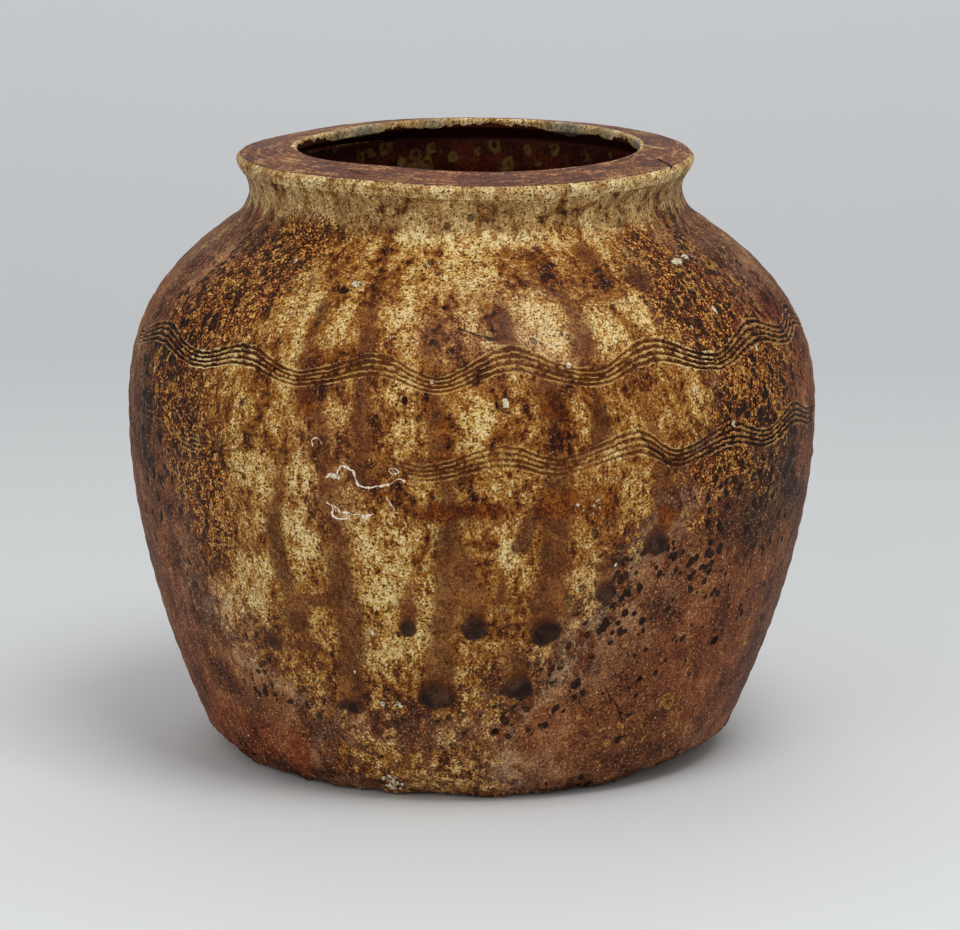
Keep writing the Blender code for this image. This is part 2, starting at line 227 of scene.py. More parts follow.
# Crowds of black specks: angle, height, half width, half height, share
SOOT_SHARES = (
    (58, 101, 28, 11, 1.6), (68, 122, 22, 15, 1.1), (50, 134, 14, 9, 0.9), (60, 86, 18, 8, 0.7),
    (46, 112, 12, 8, 0.9), (48, 164, 18, 9, 0.8), (64, 142, 16, 10, 0.8), (70, 160, 20, 16, 0.7),
    (58, 182, 22, 8, 0.3), (27, 86, 12, 9, 0.8), (22, 68, 15, 10, 0.8), (34, 66, 15, 8, 0.45),
    (40, 82, 14, 8, 0.7), (30, 46, 26, 9, 0.18), (54, 64, 26, 12, 0.22), (12, 50, 14, 6, 0.5),
    (2, 30, 40, 8, 0.3), (-58, 162, 22, 14, 1.0), (-60, 96, 20, 16, 0.6), (-54, 122, 18, 20, 1.0),
    (-64, 140, 18, 14, 0.9), (-54, 180, 22, 8, 0.8), (-70, 118, 16, 24, 0.7), (-42, 60, 14, 9, 0.5),
    (-38, 38, 22, 8, 0.4), (110, 120, 60, 40, 0.6), (-115, 110, 60, 40, 0.5), (160, 140, 60, 30, 0.45),
    (-160, 90, 60, 40, 0.4),
)

# Scattered ovals: seed, how many throws, least and greatest radius
IRON_SPOTS = (81, 46000, 0.3, 1.5)
ASH_ISLANDS = (82, 3600, 0.9, 2.8)

# Thin ash burnt to crumbs of maroon and orange: angle, height, half width, half height, share
EMBER_SHARES = (
    (-50, 172, 18, 14, 1.0), (-60, 156, 16, 14, 0.9), (-42, 188, 14, 7, 0.7), (-60, 140, 14, 12, 0.8),
    (-53, 122, 15, 18, 1.0), (-47, 104, 12, 13, 0.7), (-46, 86, 10, 12, 0.4), (-38, 46, 8, 5, 0.3),
    (47, 166, 15, 13, 1.0), (56, 174, 16, 10, 0.5), (52, 146, 13, 9, 1.0), (64, 150, 12, 12, 0.7),
    (49, 130, 12, 9, 1.0), (60, 128, 14, 10, 0.8), (45, 114, 12, 8, 1.0), (56, 106, 12, 7, 0.5),
    (58, 88, 12, 8, 0.3), (42, 97, 8, 6, 0.5), (38, 118, 6, 6, 0.5), (46, 186, 10, 5, 0.7),
    (40, 24, 22, 8, 0.3), (110, 150, 40, 20, 0.5), (-110, 150, 40, 20, 0.5), (170, 160, 60, 14, 0.5),
)

# Redder clay, and darker clay, with a darker band along the bottom of the foot: angle, height, half width,
# half height, share
RED_CLAY_SHARES = (
    (-62, 14, 40, 10, 0.9), (-44, 12, 26, 8, 0.6), (-80, 30, 40, 20, 0.4), (50, 44, 30, 24, 0.35),
    (66, 130, 30, 30, 0.5), (62, 168, 30, 16, 1.0), (-58, 166, 30, 18, 0.9), (120, 40, 60, 30, 0.5),
    (-150, 30, 60, 26, 0.6), (180, 150, 80, 30, 0.4),
)
DARK_CLAY_SHARES = (
    # (0, 0, 170, 2.6, 0.7) darkens the bottom of the foot all round the front
    (-68, 132, 13, 26, 0.6), (-50, 30, 12, 6, 0.4), (-74, 110, 20, 36, 0.4), (0, 0, 170, 2.6, 0.7),
    (76, 60, 20, 40, 0.35), (40, 14, 30, 8, 0.3), (58, 98, 24, 13, 1.2), (62, 122, 20, 14, 0.8),
    (-130, 120, 50, 50, 0.4), (130, 100, 60, 60, 0.4),
)
# Soft lilac on the glaze: painted reflection of the overhead lamp where the shoulder faces up, and pale
# lilac patches lower on the wall
LILAC_AND_SHEEN_SHARES = (
    (-2, 164, 18, 6, 0.6), (12, 160, 14, 9, 0.7), (-24, 116, 12, 20, 0.5), (8, 176, 22, 4, 0.3),
    (27, 72, 20, 17, 0.55), (16, 48, 22, 9, 0.7), (-12, 27, 30, 7, 0.7), (-48, 60, 20, 14, 0.7),
    (34, 92, 10, 8, 0.5), (9, 9, 26, 8, 0.7),
)

# Single marks, pits and stuck grains: angle, height, half width, half height
PITS = (
    (-25.4, 175.6, 1.9, 0.9), (-10.7, 143.6, 1.1, 1.5), (4.3, 142.6, 0.6, 1.5), (-17.9, 16.0, 0.9, 0.8),
    (-3.8, 128.6, 0.6, 0.9), (50.2, 51.0, 2.0, 1.6), (-4.4, 172.4, 0.6, 0.5), (-34.8, 150.2, 0.7, 0.8),
    (57.0, 58.6, 1.1, 1.6), (5, 26.8, 1.3, 1.2), (33.0, 42.6, 1.0, 1.2), (-56.6, 5.3, 1.6, 1.0),
)
GRAINS = (
    (-23.4, 177.4, 1.7, 1.0), (17.1, 154.3, 1.0, 1.1), (52.3, 165.1, 0.9, 1.6), (5.8, 143.2, 1.2, 1.9),
    (44.1, 161.4, 0.5, 0.8), (47.7, 128.8, 0.9, 1.2), (-6.2, 149.8, 0.7, 0.8), (-16.4, 36.4, 0.9, 1.2),
    (-21.0, 48.0, 0.5, 0.6), (-22.2, 117.4, 1.2, 1.1), (53.0, 180.0, 3.4, 0.9), (57.0, 180.6, 2.0, 0.7),
    (-41.6, 182.0, 0.8, 0.7), (58.4, 151.0, 0.5, 1.3), (39.6, 142.4, 0.6, 0.7), (24.4, 86.2, 0.7, 0.8),
    (-47.4, 66.0, 0.6, 0.8), (-17.0, 63.0, 0.7, 1.4), (-30.6, 154.2, 0.5, 0.6), (-22.8, 160.2, 0.5, 0.6),
    (60.8, 108.0, 0.6, 0.6), (-53.2, 14.6, 0.5, 0.5), (-34.2, 19.4, 0.5, 0.5), (8.2, 112.4, 0.5, 0.5),
)
# Cracks and scratches, then thin white lines where the glaze has flaked: half width and points
CUTS = (
    (0.35, ((-1.2, 166), (1.6, 164.4), (5.0, 163))),
    (0.35, ((3.4, 140.4), (4.6, 141.4), (4.4, 144.6))), (0.3, ((4.6, 141.4), (6.2, 140.2))),
    (0.3, ((47.6, 117.4), (51.2, 113.2), (56.8, 108.0))),
    (0.22, ((26, 40), (29.6, 32.4), (31, 27))), (0.22, ((40.4, 76.8), (43.6, 78.4), (46, 77.8))),
    (0.22, ((21, 37), (23.4, 31))), (0.3, ((28.5, 129), (31, 123.4), (33.6, 120))),
)
FLAKED_LINES = (
    (0.38, ((-21.9, 117.8), (-21.7, 119.4), (-20.9, 121.0), (-19.9, 120.8), (-19.2, 119.4), (-18.7, 117.2),
            (-18.2, 115.0), (-17.3, 114.0), (-16.2, 113.9), (-14.8, 114.9), (-13.0, 115.4), (-12.2, 116.6),
            (-11.5, 117.6), (-10.8, 117.2))),
    (0.9, ((-23.3, 117.2), (-22.4, 117.7), (-21.8, 117.5))),
    (0.2, ((-12.5, 119.3), (-13.0, 120.6), (-12.5, 121.5), (-11.8, 121.2), (-11.5, 120.3), (-11.9, 119.8))),
    (0.2, ((-26.0, 127.2), (-26.3, 128.6), (-25.7, 129.6), (-25.0, 129.3), (-24.7, 128.4))),
    (0.36, ((-23.2, 107.6), (-22.4, 106.0), (-22.9, 104.6), (-21.8, 102.6), (-20.6, 102.6), (-19.8, 104.6),
            (-18.4, 105.6), (-17.2, 104.2), (-16.0, 105.4))),
    (0.32, ((-23.2, 107.6), (-21.8, 107.2), (-21.3, 105.2), (-20.2, 105.6), (-19.2, 104.8))),
    (0.2, ((-17.8, 104.6), (-17.3, 103.0))), (0.2, ((-13.4, 110.0), (-12.6, 108.4), (-12.2, 106.4))),
)
# Sand stuck on in clumps: angle, height, half width, half height and how many grains
CLUMPS = ((-16.9, 5.4, 5.0, 3.4, 34), (19, 108, 5, 4, 6), (-13.4, 36.4, 3, 2, 7))

# Ash that hangs from the lip: angle, spread in degrees, share
LIP_PATCH_SHARES = (
    (-141, 7, 1.0), (-130, 4, 0.7), (144, 8, 1.0), (100, 6, 1.0), (126, 4, 0.6), (-168, 4, 0.6),
)
LIP_ASH_REACH, LIP_ASH_LEAN, LIP_HANG = 1.4, 1.3, 4.2
# Ash stuck on the flat of the rim: angle, distance from the axis, size
RIM_MARKS = ((89, 63.4, 3.4), (88, 67.2, 2.4))
# Cuts in the rim: half width, and both ends as angle and distance from the axis
RIM_CUTS = ((0.7, (70.3, 69.4), (63.4, 79.6)), (0.5, (-35.2, 68.4), (-27.3, 72.4)))
# Rings of ash on the far inner wall: angle, height, size
INSIDE_RINGS = (
    (-164.6, 197.0, 2.0), (-169.6, 199.7, 1.6), (-168.1, 193.9, 1.9), (171.3, 200.7, 2.2),
    (152.2, 201.1, 2.0), (157.3, 196.4, 1.7), (166.9, 194.0, 1.8), (-154.9, 200.9, 2.2),
    (176.0, 198.2, 1.2), (161.0, 199.4, 1.0), (-176.0, 196.4, 1.3), (-159.8, 195.2, 1.1),
    (141.0, 198.6, 1.6), (-146.0, 197.6, 1.2), (120.0, 196.0, 1.8), (-122.0, 198.0, 1.6),
)

# How deep the relief is
SKIN_DEPTH = 0.42
RELIEF_LIMITS = (-1.4, 1.2)
THROWN_DEPTH, THROWN_PITCH = 0.10, 7.3
WIDE_LUMP_DEPTH, SMALL_LUMP_DEPTH = 0.24, 0.09
GLAZED_SAND_DEPTH, BARE_SAND_DEPTH = 0.06, 0.05
ASH_DEPTH, RUN_DEPTH, AMBER_DEPTH = 0.12, 0.20, 0.08
COMB_DEPTH, DROP_DEPTH, DROP_TOP = 0.5, 0.95, 120
SPOT_DEPTH, ISLAND_DEPTH, GRAIN_DEPTH = 0.10, 0.12, 0.4
PIT_DEPTH, CUT_DEPTH = 0.8, 0.5
HEEL_ROUGH_DEPTH, HEEL_HOLLOW_DEPTH = 0.45, 0.4
STREAK_DEPTH, RIM_SAND_DEPTH, CRUST_DEPTH, LIP_ASH_DEPTH, RIM_CUT_DEPTH = 0.07, 0.06, 0.16, 0.25, 0.5
# Ledges that the wheel left by the foot
LEDGE_DEPTH, LEDGE_PITCH, LEDGE_ANGLE, LEDGE_SPREAD, LEDGE_TOP = 0.28, 3.1, 14, 18, 7

# How strongly the surface shines
SHINE = 0.1

# The bands that the wall is cut into: name, lowest and highest height, and strips on its map
PIECE_BANDS = (
    ("lower_wall", 8.0, 58.0, 3),
    ("middle_wall", 58.0, 110.0, 4),
    ("lower_comb_band", 110.0, 137.5, 5),
    ("upper_comb_band", 137.5, 164.5, 5),
    ("shoulder", 164.5, 188.5, 4),
)

# The studio, in metres
CAMERA_PLACE = (0.00371, -2.046, 0.5297)
CAMERA_PITCH = math.radians(11.921)
CAMERA_LENS, SENSOR_WIDTH = 223.93, 36
WORLD_LEVEL = 0.475
# Each lamp: the point it lights, the direction it stands in, its distance, size and level
LAMPS = (
    ("overhead_box", (0, 0, 0.15), (0.24, -0.38, 0.89), 2.0, 1.0, 0.43),
    ("front_box", (0, 0, 0.1), (-0.5, -0.75, 0.42), 2.6, 1.4, 0.13),
    ("backdrop_box", (0, 2.4, 0), (0, 0, 1), 2.4, 2.0, 0.30),
)
STAGE_HALF, STAGE_REACH, STAGE_BEND, STAGE_RISE = 6.0, 3.0, 1.2, 4.0
FLOOR_GAP = 0.0004
PAPER_TONES = (
    (0.0, (0.80, 0.822, 0.826, 1)),
    (0.35, (0.625, 0.643, 0.656, 1)),
    (1.0, (0.735, 0.752, 0.768, 1)),
)


def eased(share):
    """A smooth step from 0 to 1."""
    share = np.clip(share, 0, 1)
    return share * share * (3 - 2 * share)


def apart(angle, place):
    """Degrees from a place round the jar, by the short way, positive to the right."""
    return (angle - place + 180) % 360 - 180


def swell(angle, place, spread):
    return np.exp(-((apart(angle, place) / spread) ** 2))


# Outline


def wall_radius(height):
    """The outside radius of the body and the neck."""
    fall = np.clip((BELLY_HEIGHT - height) / BELLY_RISE, 0, None)
    lower = BELLY_RADIUS - (BELLY_RADIUS - HEEL_RADIUS) * fall**LOWER_FULLNESS
    rise = np.clip((height - BELLY_HEIGHT) / SHOULDER_RISE, 0, None)
    drawn_in = BELLY_RADIUS - NECK_RADIUS - SHOULDER_TOP_SPREAD
    shoulder = BELLY_RADIUS - drawn_in * rise**SHOULDER_FULLNESS
    fall = np.clip((NECK_HEIGHT - height) / NECK_RISE, 0, None)
    neck = NECK_RADIUS + SHOULDER_TOP_SPREAD * fall**NECK_SWEEP
    rise = np.clip((height - NECK_HEIGHT) / RIM_FLARE_RISE, 0, None)
    flare = NECK_RADIUS + RIM_FLARE * rise**NECK_SWEEP
    tests = [height <= BELLY_HEIGHT, height <= SHOULDER_HEIGHT, height <= NECK_HEIGHT]
    return np.select(tests, [lower, shoulder, neck], flare)


def resampled(points, step):
    """The same line with its points evenly spaced."""
    points = np.asarray(points, float)
    along = np.concatenate([[0], np.cumsum(np.hypot(*np.diff(points, axis=0).T))])
    places = np.linspace(0, along[-1], max(2, round(along[-1] / step) + 1))
    return np.column_stack([np.interp(places, along, points[:, axis]) for axis in (0, 1)])


def softened(points, reach):
    """A line with its corners rounded over about the reach; its ends stay."""
    fine = resampled(points, OUTLINE_STEP)
    half = max(1, round(reach / OUTLINE_STEP))
    weights = np.hanning(2 * half + 3)[1:-1]
    weights /= weights.sum()
    pad = len(weights) // 2
    columns = []
    for axis in (0, 1):
        line = fine[:, axis]
        before = 2 * line[0] - line[pad:0:-1]
        after = 2 * line[-1] - line[-2 : -pad - 2 : -1]
        columns.append(np.convolve(np.concatenate([before, line, after]), weights, "valid"))
    return np.column_stack(columns)


def inside_points():
    """The inner wall from under the lip to the floor, one wall's thickness inside the outer."""
    floor_edge = HEEL_RISE + BASE_THICKNESS + WALL_THICKNESS
    height = np.arange(NECK_HEIGHT, floor_edge, -1.0)
    step = 0.2
    slope = (wall_radius(height + step) - wall_radius(height - step)) / (2 * step)
    across = np.hypot(1, slope)
    radius = wall_radius(height) - WALL_THICKNESS / across
    wall = np.column_stack([radius, height + WALL_THICKNESS * slope / across])
    floor_radius = radius[-1] - WALL_THICKNESS
    throat = [(THROAT_RADIUS, LIP_FOOT_HEIGHT - LIP_UNDERCUT_DROP)]
    return np.vstack([throat, wall, [(floor_radius, BASE_THICKNESS)]])


def outline_parts():
    """The jar's outline in named parts, each with its corners rounded."""
    wall_heights = np.arange(HEEL_RISE, RIM_FOOT_HEIGHT, 0.5)
    wall = np.column_stack([wall_radius(wall_heights), wall_heights])
    heel = [(FOOT_RADIUS - 2 * FOOT_WEAR, 0), (FOOT_RADIUS, 0)]
    heel.append((FOOT_RADIUS + HEEL_SPREAD / 2 + HEEL_BULGE, HEEL_RISE / 2))
    heel.append((HEEL_RADIUS, HEEL_RISE))
    rim = [(wall_radius(RIM_FOOT_HEIGHT), RIM_FOOT_HEIGHT)]
    rim += [(RIM_RADIUS, RIM_FOOT_HEIGHT + RIM_FACE_RISE / 2)]
    rim += [(RIM_RADIUS, RIM_HEIGHT - RIM_ROUNDING), (RIM_RADIUS - RIM_ROUNDING, RIM_HEIGHT)]
    rim += [(MOUTH_RADIUS + LIP_ROUNDING, MOUTH_HEIGHT), (MOUTH_RADIUS, MOUTH_HEIGHT - LIP_ROUNDING)]
    rim += [(MOUTH_RADIUS, LIP_FOOT_HEIGHT), (THROAT_RADIUS, LIP_FOOT_HEIGHT - LIP_UNDERCUT_DROP)]
    return {
        "heel": softened(heel, 1.2),
        "wall": softened(wall, 3.0),
        "rim": softened(rim, 0.6),
        "inside": softened(inside_points(), 5.0),
    }


# Rows and columns of the skin


def column_angles():
    """Close together over the front, wider apart round the back, and closed on themselves."""
    edge, span = FRONT_HALF_ANGLE, 2 * FRONT_HALF_ANGLE
    front = np.linspace(-edge, edge, round(span / FRONT_STEP_ANGLE) + 1)
    back = np.linspace(edge, 360 - edge, round((360 - span) / BACK_STEP_ANGLE) + 1)
    return np.concatenate([front, back[1:]])


def wall_row_heights():
    """Heights of the wall's rows: an even step along the wall, and a finer one in the bands."""
    height = HEEL_RISE
    heights = [height]
    while height < RIM_FOOT_HEIGHT:
        slope = (wall_radius(height + 0.1) - wall_radius(height - 0.1)) / 0.2
        step = WALL_STEP / math.hypot(1, slope)
        if min(abs(height - LOWER_BAND), abs(height - UPPER_BAND)) < BAND_HALF + TINE_PITCH / 2:
            step = COMB_STEP
        height += step
        heights.append(height)
    heights[-1] = RIM_FOOT_HEIGHT
    return np.array(heights)


def turned_wave(angle, turns, back_turns, band):
    """Height of the comb's wave above its band, drawn smoothly through its turns all round."""
    first, last = turns[0], turns[-1]
    gap = 360 - (last[0] - first[0])
    up_next = last[1] < band
    places, heights = [t[0] for t in turns], [t[1] - band for t in turns]
    for turn in range(1, back_turns):
        places.append(last[0] + gap * turn / back_turns)
        heights.append(BACK_WAVE_RISE if (turn % 2 == 1) == up_next else -BACK_WAVE_RISE)
    places.append(first[0] + 360)
    heights.append(first[1] - band)
    places_round = [places[-2] - 360, *places, places[1] + 360]
    slopes = np.gradient([heights[-2], *heights, heights[1]], places_round)[1:-1]
    places, heights = np.array(places), np.array(heights)
    wrapped = (angle - first[0]) % 360 + first[0]
    step = np.clip(np.searchsorted(places, wrapped, "right") - 1, 0, len(places) - 2)
    wide = places[step + 1] - places[step]
    share = (wrapped - places[step]) / wide
    rise = eased(share)
    start_bend = share * (1 - share) ** 2 * wide * slopes[step]
    end_bend = share**2 * (share - 1) * wide * slopes[step + 1]
    return heights[step] * (1 - rise) + heights[step + 1] * rise + start_bend + end_bend


def comb_lift(angle, row_height):
    """How far the comb lifts a row at this angle: fully within a band, less beside it."""
    lift = 0
    for band, turns, back_turns, spread in COMB_BANDS:
        away = row_height - band
        share = 1 - eased((np.abs(away) - BAND_HALF) / BAND_BLEND)
        wave = turned_wave(angle, turns, back_turns, band)
        widening = np.clip(away, -BAND_HALF, BAND_HALF) * (spread + WAVE_SPREAD * wave)
        lift = lift + share * (wave + widening)
    return lift


def tine_phase(row_height):
    """How many tines a row lies inside the edge of the nearer band; below 0 outside it."""
    away = np.minimum(np.abs(row_height - LOWER_BAND), np.abs(row_height - UPPER_BAND))
    return TINES / 2 - away / TINE_PITCH


def comb_relief(row_height):
    """Round grooves and narrow ridges, from -1 at the bottom of a groove to 0.3 on a ridge."""
    phase = tine_phase(row_height)
    groove = -np.sin(math.pi * phase) ** 2 * (phase > 0)
    ridge = 0.3 * np.cos(math.pi * phase) ** 4 * (phase > -0.5)
    return groove + ridge


def wrapped_shares(shares):
    """Angles and shares as the table has them, sorted from 0 to 360 and closed there."""
    places = sorted((angle % 360, share) for angle, share in shares)
    first, last = places[0], places[-1]
    places = [(last[0] - 360, last[1]), *places, (first[0] + 360, first[1])]
    return [p[0] for p in places], [p[1] for p in places]


def rim_warp(angle):
    rise = RIM_SWELL * swell(angle, RIM_SWELL_ANGLE, RIM_WARP_SPREAD)
    return rise - RIM_SAG * swell(angle, RIM_SAG_ANGLE, RIM_WARP_SPREAD)


def stray(height):
    """How far the middle of the jar lies to the right of its axis at this height."""
    rim_share = eased((height - BELLY_HEIGHT) / (RIM_HEIGHT - BELLY_HEIGHT))
    return eased(height / BELLY_HEIGHT) * BELLY_STRAY + rim_share * (RIM_STRAY - BELLY_STRAY)


def foot_wear(angle):
    """The share of the foot's edge that is chipped away, with small nicks between the chips."""
    worn = 0
    for place, spread, share in FOOT_CHIP_SHARES:
        worn = worn + share * swell(angle, place, spread)
    nicks = np.clip(cloud(angle, 0 * angle, 7, 41, 2) - 0.15, 0, None)
    return np.clip(worn + 0.5 * nicks, 0, 1.15)


# Noise on the skin

CLOUD_ROWS, CLOUD_FALL, CLOUD_REACH = 997, 0.6, 1.3


def cloud(angle, height, size, seed, octaves=1, stretch=1):
    """Smooth noise between -1 and 1 round the jar, with bumps of the given size."""
    total, weight = 0, 0
    for octave in range(octaves):
        count = max(3, round(math.tau * BELLY_RADIUS / size * 2**octave))
        across = angle / 360 % 1 * count
        up = height / (size * stretch) * 2**octave + 50
        column, row = np.floor(across).astype(int), np.floor(up).astype(int)
        share, lift = eased(across - column), eased(up - row)
        table = np.random.default_rng((seed, octave)).uniform(-1, 1, (CLOUD_ROWS, count))
        left, right = column % count, (column + 1) % count
        low, high = (
            table[level, left] * (1 - share) + table[level, right] * share
            for level in (row % CLOUD_ROWS, (row + 1) % CLOUD_ROWS)
        )
        total = total + (low * (1 - lift) + high * lift) * CLOUD_FALL**octave
        weight += CLOUD_FALL**octave
    return total / weight * CLOUD_REACH


# Marks on the skin


def patch(angle, height, place, level, half_width, half_height, share):
    """A soft oval patch, 1 in its middle times its share."""
    across = np.radians(apart(angle, place)) * wall_radius(height)
    reach = (across / half_width) ** 2 + ((height - level) / half_height) ** 2
    return share * np.exp(-0.7 * reach**1.5)


def sand_grains():
    """The listed grains, and the sand in each clump."""
    grains = list(GRAINS)
    scatter = np.random.default_rng(61)
    for place, level, half_width, half_height, count in CLUMPS:
        for _ in range(count):
            turn, far = scatter.uniform(0, math.tau), scatter.uniform(0, 1) ** 0.6
            size = scatter.uniform(0.35, 0.8)
            across = math.degrees(half_width * far * math.cos(turn) / BELLY_RADIUS)
            grains.append((place + across, level + half_height * far * math.sin(turn), size, size))
    return grains


def runs(angle, height):
    """Brown runs: thin and faint at the top, wide and dark near the bottom."""
    total = np.zeros_like(angle)
    wander = 1.4 * cloud(angle, height, 15, 5, 2, 1.8) + 0.9 * cloud(angle, height, 5, 7, 2)
    for half_width, points in RUNS:
        heights = np.array([p[1] for p in points])[::-1]
        angles = np.array([p[0] for p in points])[::-1]
        middle = np.interp(height, heights, angles)
        across = np.radians(apart(angle, middle)) * wall_radius(height) + wander
        depth = np.clip((heights[-1] - height) / (heights[-1] - heights[0]), 0, 1)
        width = half_width * (1.4 + 0.4 * depth)
        inside = eased((heights[-1] + 6 - height) / 14) * eased((height - heights[0] + 4) / 5)
        strength = 0.45 + 0.55 * depth
        total = np.maximum(total, strength * inside * np.exp(-((across / width) ** 2)))
    for pool in BROWN_POOL_SHARES:
        total = np.maximum(total, patch(angle, height + wander, *pool))
    return total * (0.85 + 0.40 * cloud(angle, height, 11, 6, 3, 1.6))


def sagging_drops(angle, height, sway):
    """How far inside the nearest drop a point lies: crisp below, fading up into its run."""
    nearest = np.full(angle.shape, -1.0)
    for place, level, half_width, half_height, share in DROP_SHARES:
        across = (np.radians(apart(angle, place)) * wall_radius(height) + sway) / half_width
        up = (height - level + sway) / half_height
        fade = 0.4 * np.clip(up, 0, 1)
        crispness = 1 + 2 * np.clip(0.5 - up, 0, 1)
        inside = share - fade - np.hypot(across, np.where(up > 0, 0.55 * up, up))
        nearest = np.maximum(nearest, crispness * inside)
    return nearest


def rounded(points):
    """A line with its corners cut away twice."""
    points = np.asarray(points, float)
    for _ in range(2):
        near, far = 0.75 * points[:-1] + 0.25 * points[1:], 0.25 * points[:-1] + 0.75 * points[1:]
        points = np.vstack([points[:1], np.column_stack([near, far]).reshape(-1, 2), points[-1:]])
    return points


def ash_cover(angle, height):
    """How thickly ash lies, from 0 to 1, with its edge about halfway."""
    heights = [e[0] for e in ASH_EDGES]
    left = np.interp(height, heights, [e[1] for e in ASH_EDGES])
    right = np.interp(height, heights, [e[2] for e in ASH_EDGES])
    centred = (angle + 180) % 360 - 180
    centred = centred + 5 * cloud(angle, height, 22, 11, 2)
    cover = eased((centred - left) / (2 * ASH_SOFTNESS) + 0.5)
    cover = cover * eased((right - centred) / (2 * ASH_SOFTNESS) + 0.5)
    cover = cover * np.interp(height, *LOW_ASH_SHARES)
    shoulder_dust = 0.34 * eased((height - 150) / 40) + 0.25 * eased((height - 186) / 10)
    return np.maximum(cover, shoulder_dust + 0.1 * cloud(angle, height, 30, 12, 2))


class Skin:
    """The jar's whole surface as one grid of rows and columns, before it is cut into pieces."""

    def __init__(self):
        self.angle = column_angles()
        self.lay_rows(outline_parts())
        self.bend_rows()
        self.mark()
        self.raise_relief()

    def lay_rows(self, parts):
        """Radius, height and kind of each row, from the middle of the base to the floor."""
        base_radii = np.arange(BASE_STEP, FOOT_RADIUS - 2 * FOOT_WEAR, BASE_STEP)
        self.wall_line = parts["wall"][:, 1], parts["wall"][:, 0]
        heights = wall_row_heights()
        throat_points = round(THROAT_DEPTH / OUTLINE_STEP)
        throat = resampled(parts["inside"][: throat_points + 1], THROAT_STEP)[1:]
        inside = np.vstack([throat, resampled(parts["inside"][throat_points:], INSIDE_STEP)[1:]])
        floor_radii = np.arange(inside[-1, 0] - BASE_STEP, BASE_STEP, -BASE_STEP)
        rows = {
            "base": np.column_stack([base_radii, 0 * base_radii]),
            "heel": resampled(parts["heel"], HEEL_STEP)[:-1],
            "wall": np.column_stack([np.interp(heights, *self.wall_line), heights]),
            "rim": resampled(parts["rim"], RIM_STEP)[1:],
            "inside": inside,
            "floor": np.column_stack([floor_radii, 0 * floor_radii + BASE_THICKNESS]),
        }
        counts = [len(points) for points in rows.values()]
        self.start = dict(zip(rows, np.cumsum([0] + counts)))
        self.kind = np.repeat(list(rows), counts)
        self.outline = np.vstack(list(rows.values()))
        self.row_radius, self.row_height = self.outline[:, :1], self.outline[:, 1:]
        self.along = np.concatenate([[0], np.cumsum(np.hypot(*np.diff(self.outline, axis=0).T))])

    def on(self, *kinds):
        """True for each row of these kinds."""
        return np.isin(self.kind, kinds)[:, None]

    def cloud(self, size, seed, octaves=1, stretch=1):
        return cloud(self.full_angle, self.height, size, seed, octaves, stretch)

    def bend_rows(self):
        """Places every point: comb waves, worn foot, warped rim, and the stray of the middle."""
        angle, row_radius, row_height = self.angle[None, :], self.row_radius, self.row_height
        wall, rim = self.on("wall"), self.on("rim")
        lift = np.where(wall, comb_lift(angle, row_height), 0)
        self.height = row_height + lift
        self.full_angle = np.broadcast_to(angle, self.height.shape).copy()
        radius = np.where(wall & (lift != 0), np.interp(self.height, *self.wall_line), row_radius)
        worn = foot_wear(angle) * np.interp(row_height, *FOOT_WEAR_REACH) * ~self.on("inside", "floor")
        worn = worn * eased((row_radius - FOOT_RADIUS + 2 * FOOT_WEAR) / (2 * FOOT_WEAR))
        radius = radius - FOOT_WEAR * worn
        height = self.height + FOOT_LIFT * worn
        warp_share = np.where(rim, 1, eased((row_height - NECK_HEIGHT) / RIM_FLARE_RISE) * wall)
        under_lip = rim & (row_radius < THROAT_RADIUS + 1) & (row_height < LIP_FOOT_HEIGHT)
        held = 1 - np.clip((LIP_FOOT_HEIGHT - row_height) / LIP_UNDERCUT_DROP, 0, 1)
        height = height + np.where(under_lip, held, warp_share) * rim_warp(angle)
        lip_share = eased((RIM_RADIUS - row_radius) / (RIM_RADIUS - MOUTH_RADIUS))
        middle = stray(height) + np.where(rim, lip_share * LIP_STRAY * np.where(under_lip, held, 1), 0)
        turn = np.radians(self.full_angle)
        self.points = np.stack([middle + radius * np.sin(turn), -radius * np.cos(turn), height], axis=-1)

    def normals(self):
        """Outward directions, from the points beside each one."""
        around = np.empty_like(self.points)
        around[:, 1:-1] = self.points[:, 2:] - self.points[:, :-2]
        around[:, 0] = around[:, -1] = self.points[:, 1] - self.points[:, -2]
        normal = np.cross(around, np.gradient(self.points, axis=0))
        return normal / np.maximum(np.linalg.norm(normal, axis=-1, keepdims=True), 1e-12)

    def rows_near(self, level, reach):
        """The wall's rows within a reach of a height, with room for the comb's waves."""
        first, last = self.start["heel"], self.start["rim"]
        reach = reach + 2 * BACK_WAVE_RISE
        low, high = np.searchsorted(self.outline[first:last, 1], (level - reach, level + reach))
        return slice(first + low, first + high)

    def block_near(self, place, level, reach):
        """The rows and columns within a reach of a place on the wall."""
        place = (place - self.angle[0]) % 360 + self.angle[0]
        spread = math.degrees(reach / wall_radius(np.float64(level)))
        left, right = np.searchsorted(self.angle, (place - spread, place + spread))
        return self.rows_near(level, reach), slice(left, right)

    def patches(self, places, aside=0, lift=0):
        """Soft oval patches on the wall, added up and kept under 1."""
        total = np.zeros_like(self.height)
        angle, height = self.full_angle + aside, self.height + lift
        for place, level, half_width, half_height, share in places:
            rows = self.rows_near(level, 2.5 * half_height + 4)
            total[rows] += patch(angle[rows], height[rows], place, level, half_width, half_height, share)
        return np.clip(total, 0, 1)

    def ovals(self, places, sway=0):
        """How far inside the nearest oval mark each point lies: 1 in its middle, 0 on its edge."""
        nearest = np.full(self.height.shape, -1.0)
        sway = sway + 0 * self.height
        for place, level, half_width, half_height in places:
            block = self.block_near(place, level, 2 * max(half_width, half_height) + 1)
            across = np.radians(apart(self.full_angle[block], place)) * wall_radius(level) + sway[block]
            up = self.height[block] - level + sway[block]
            inside = 1 - np.hypot(across / half_width, up / half_height)
            np.maximum(nearest[block], inside, out=nearest[block])
        return nearest

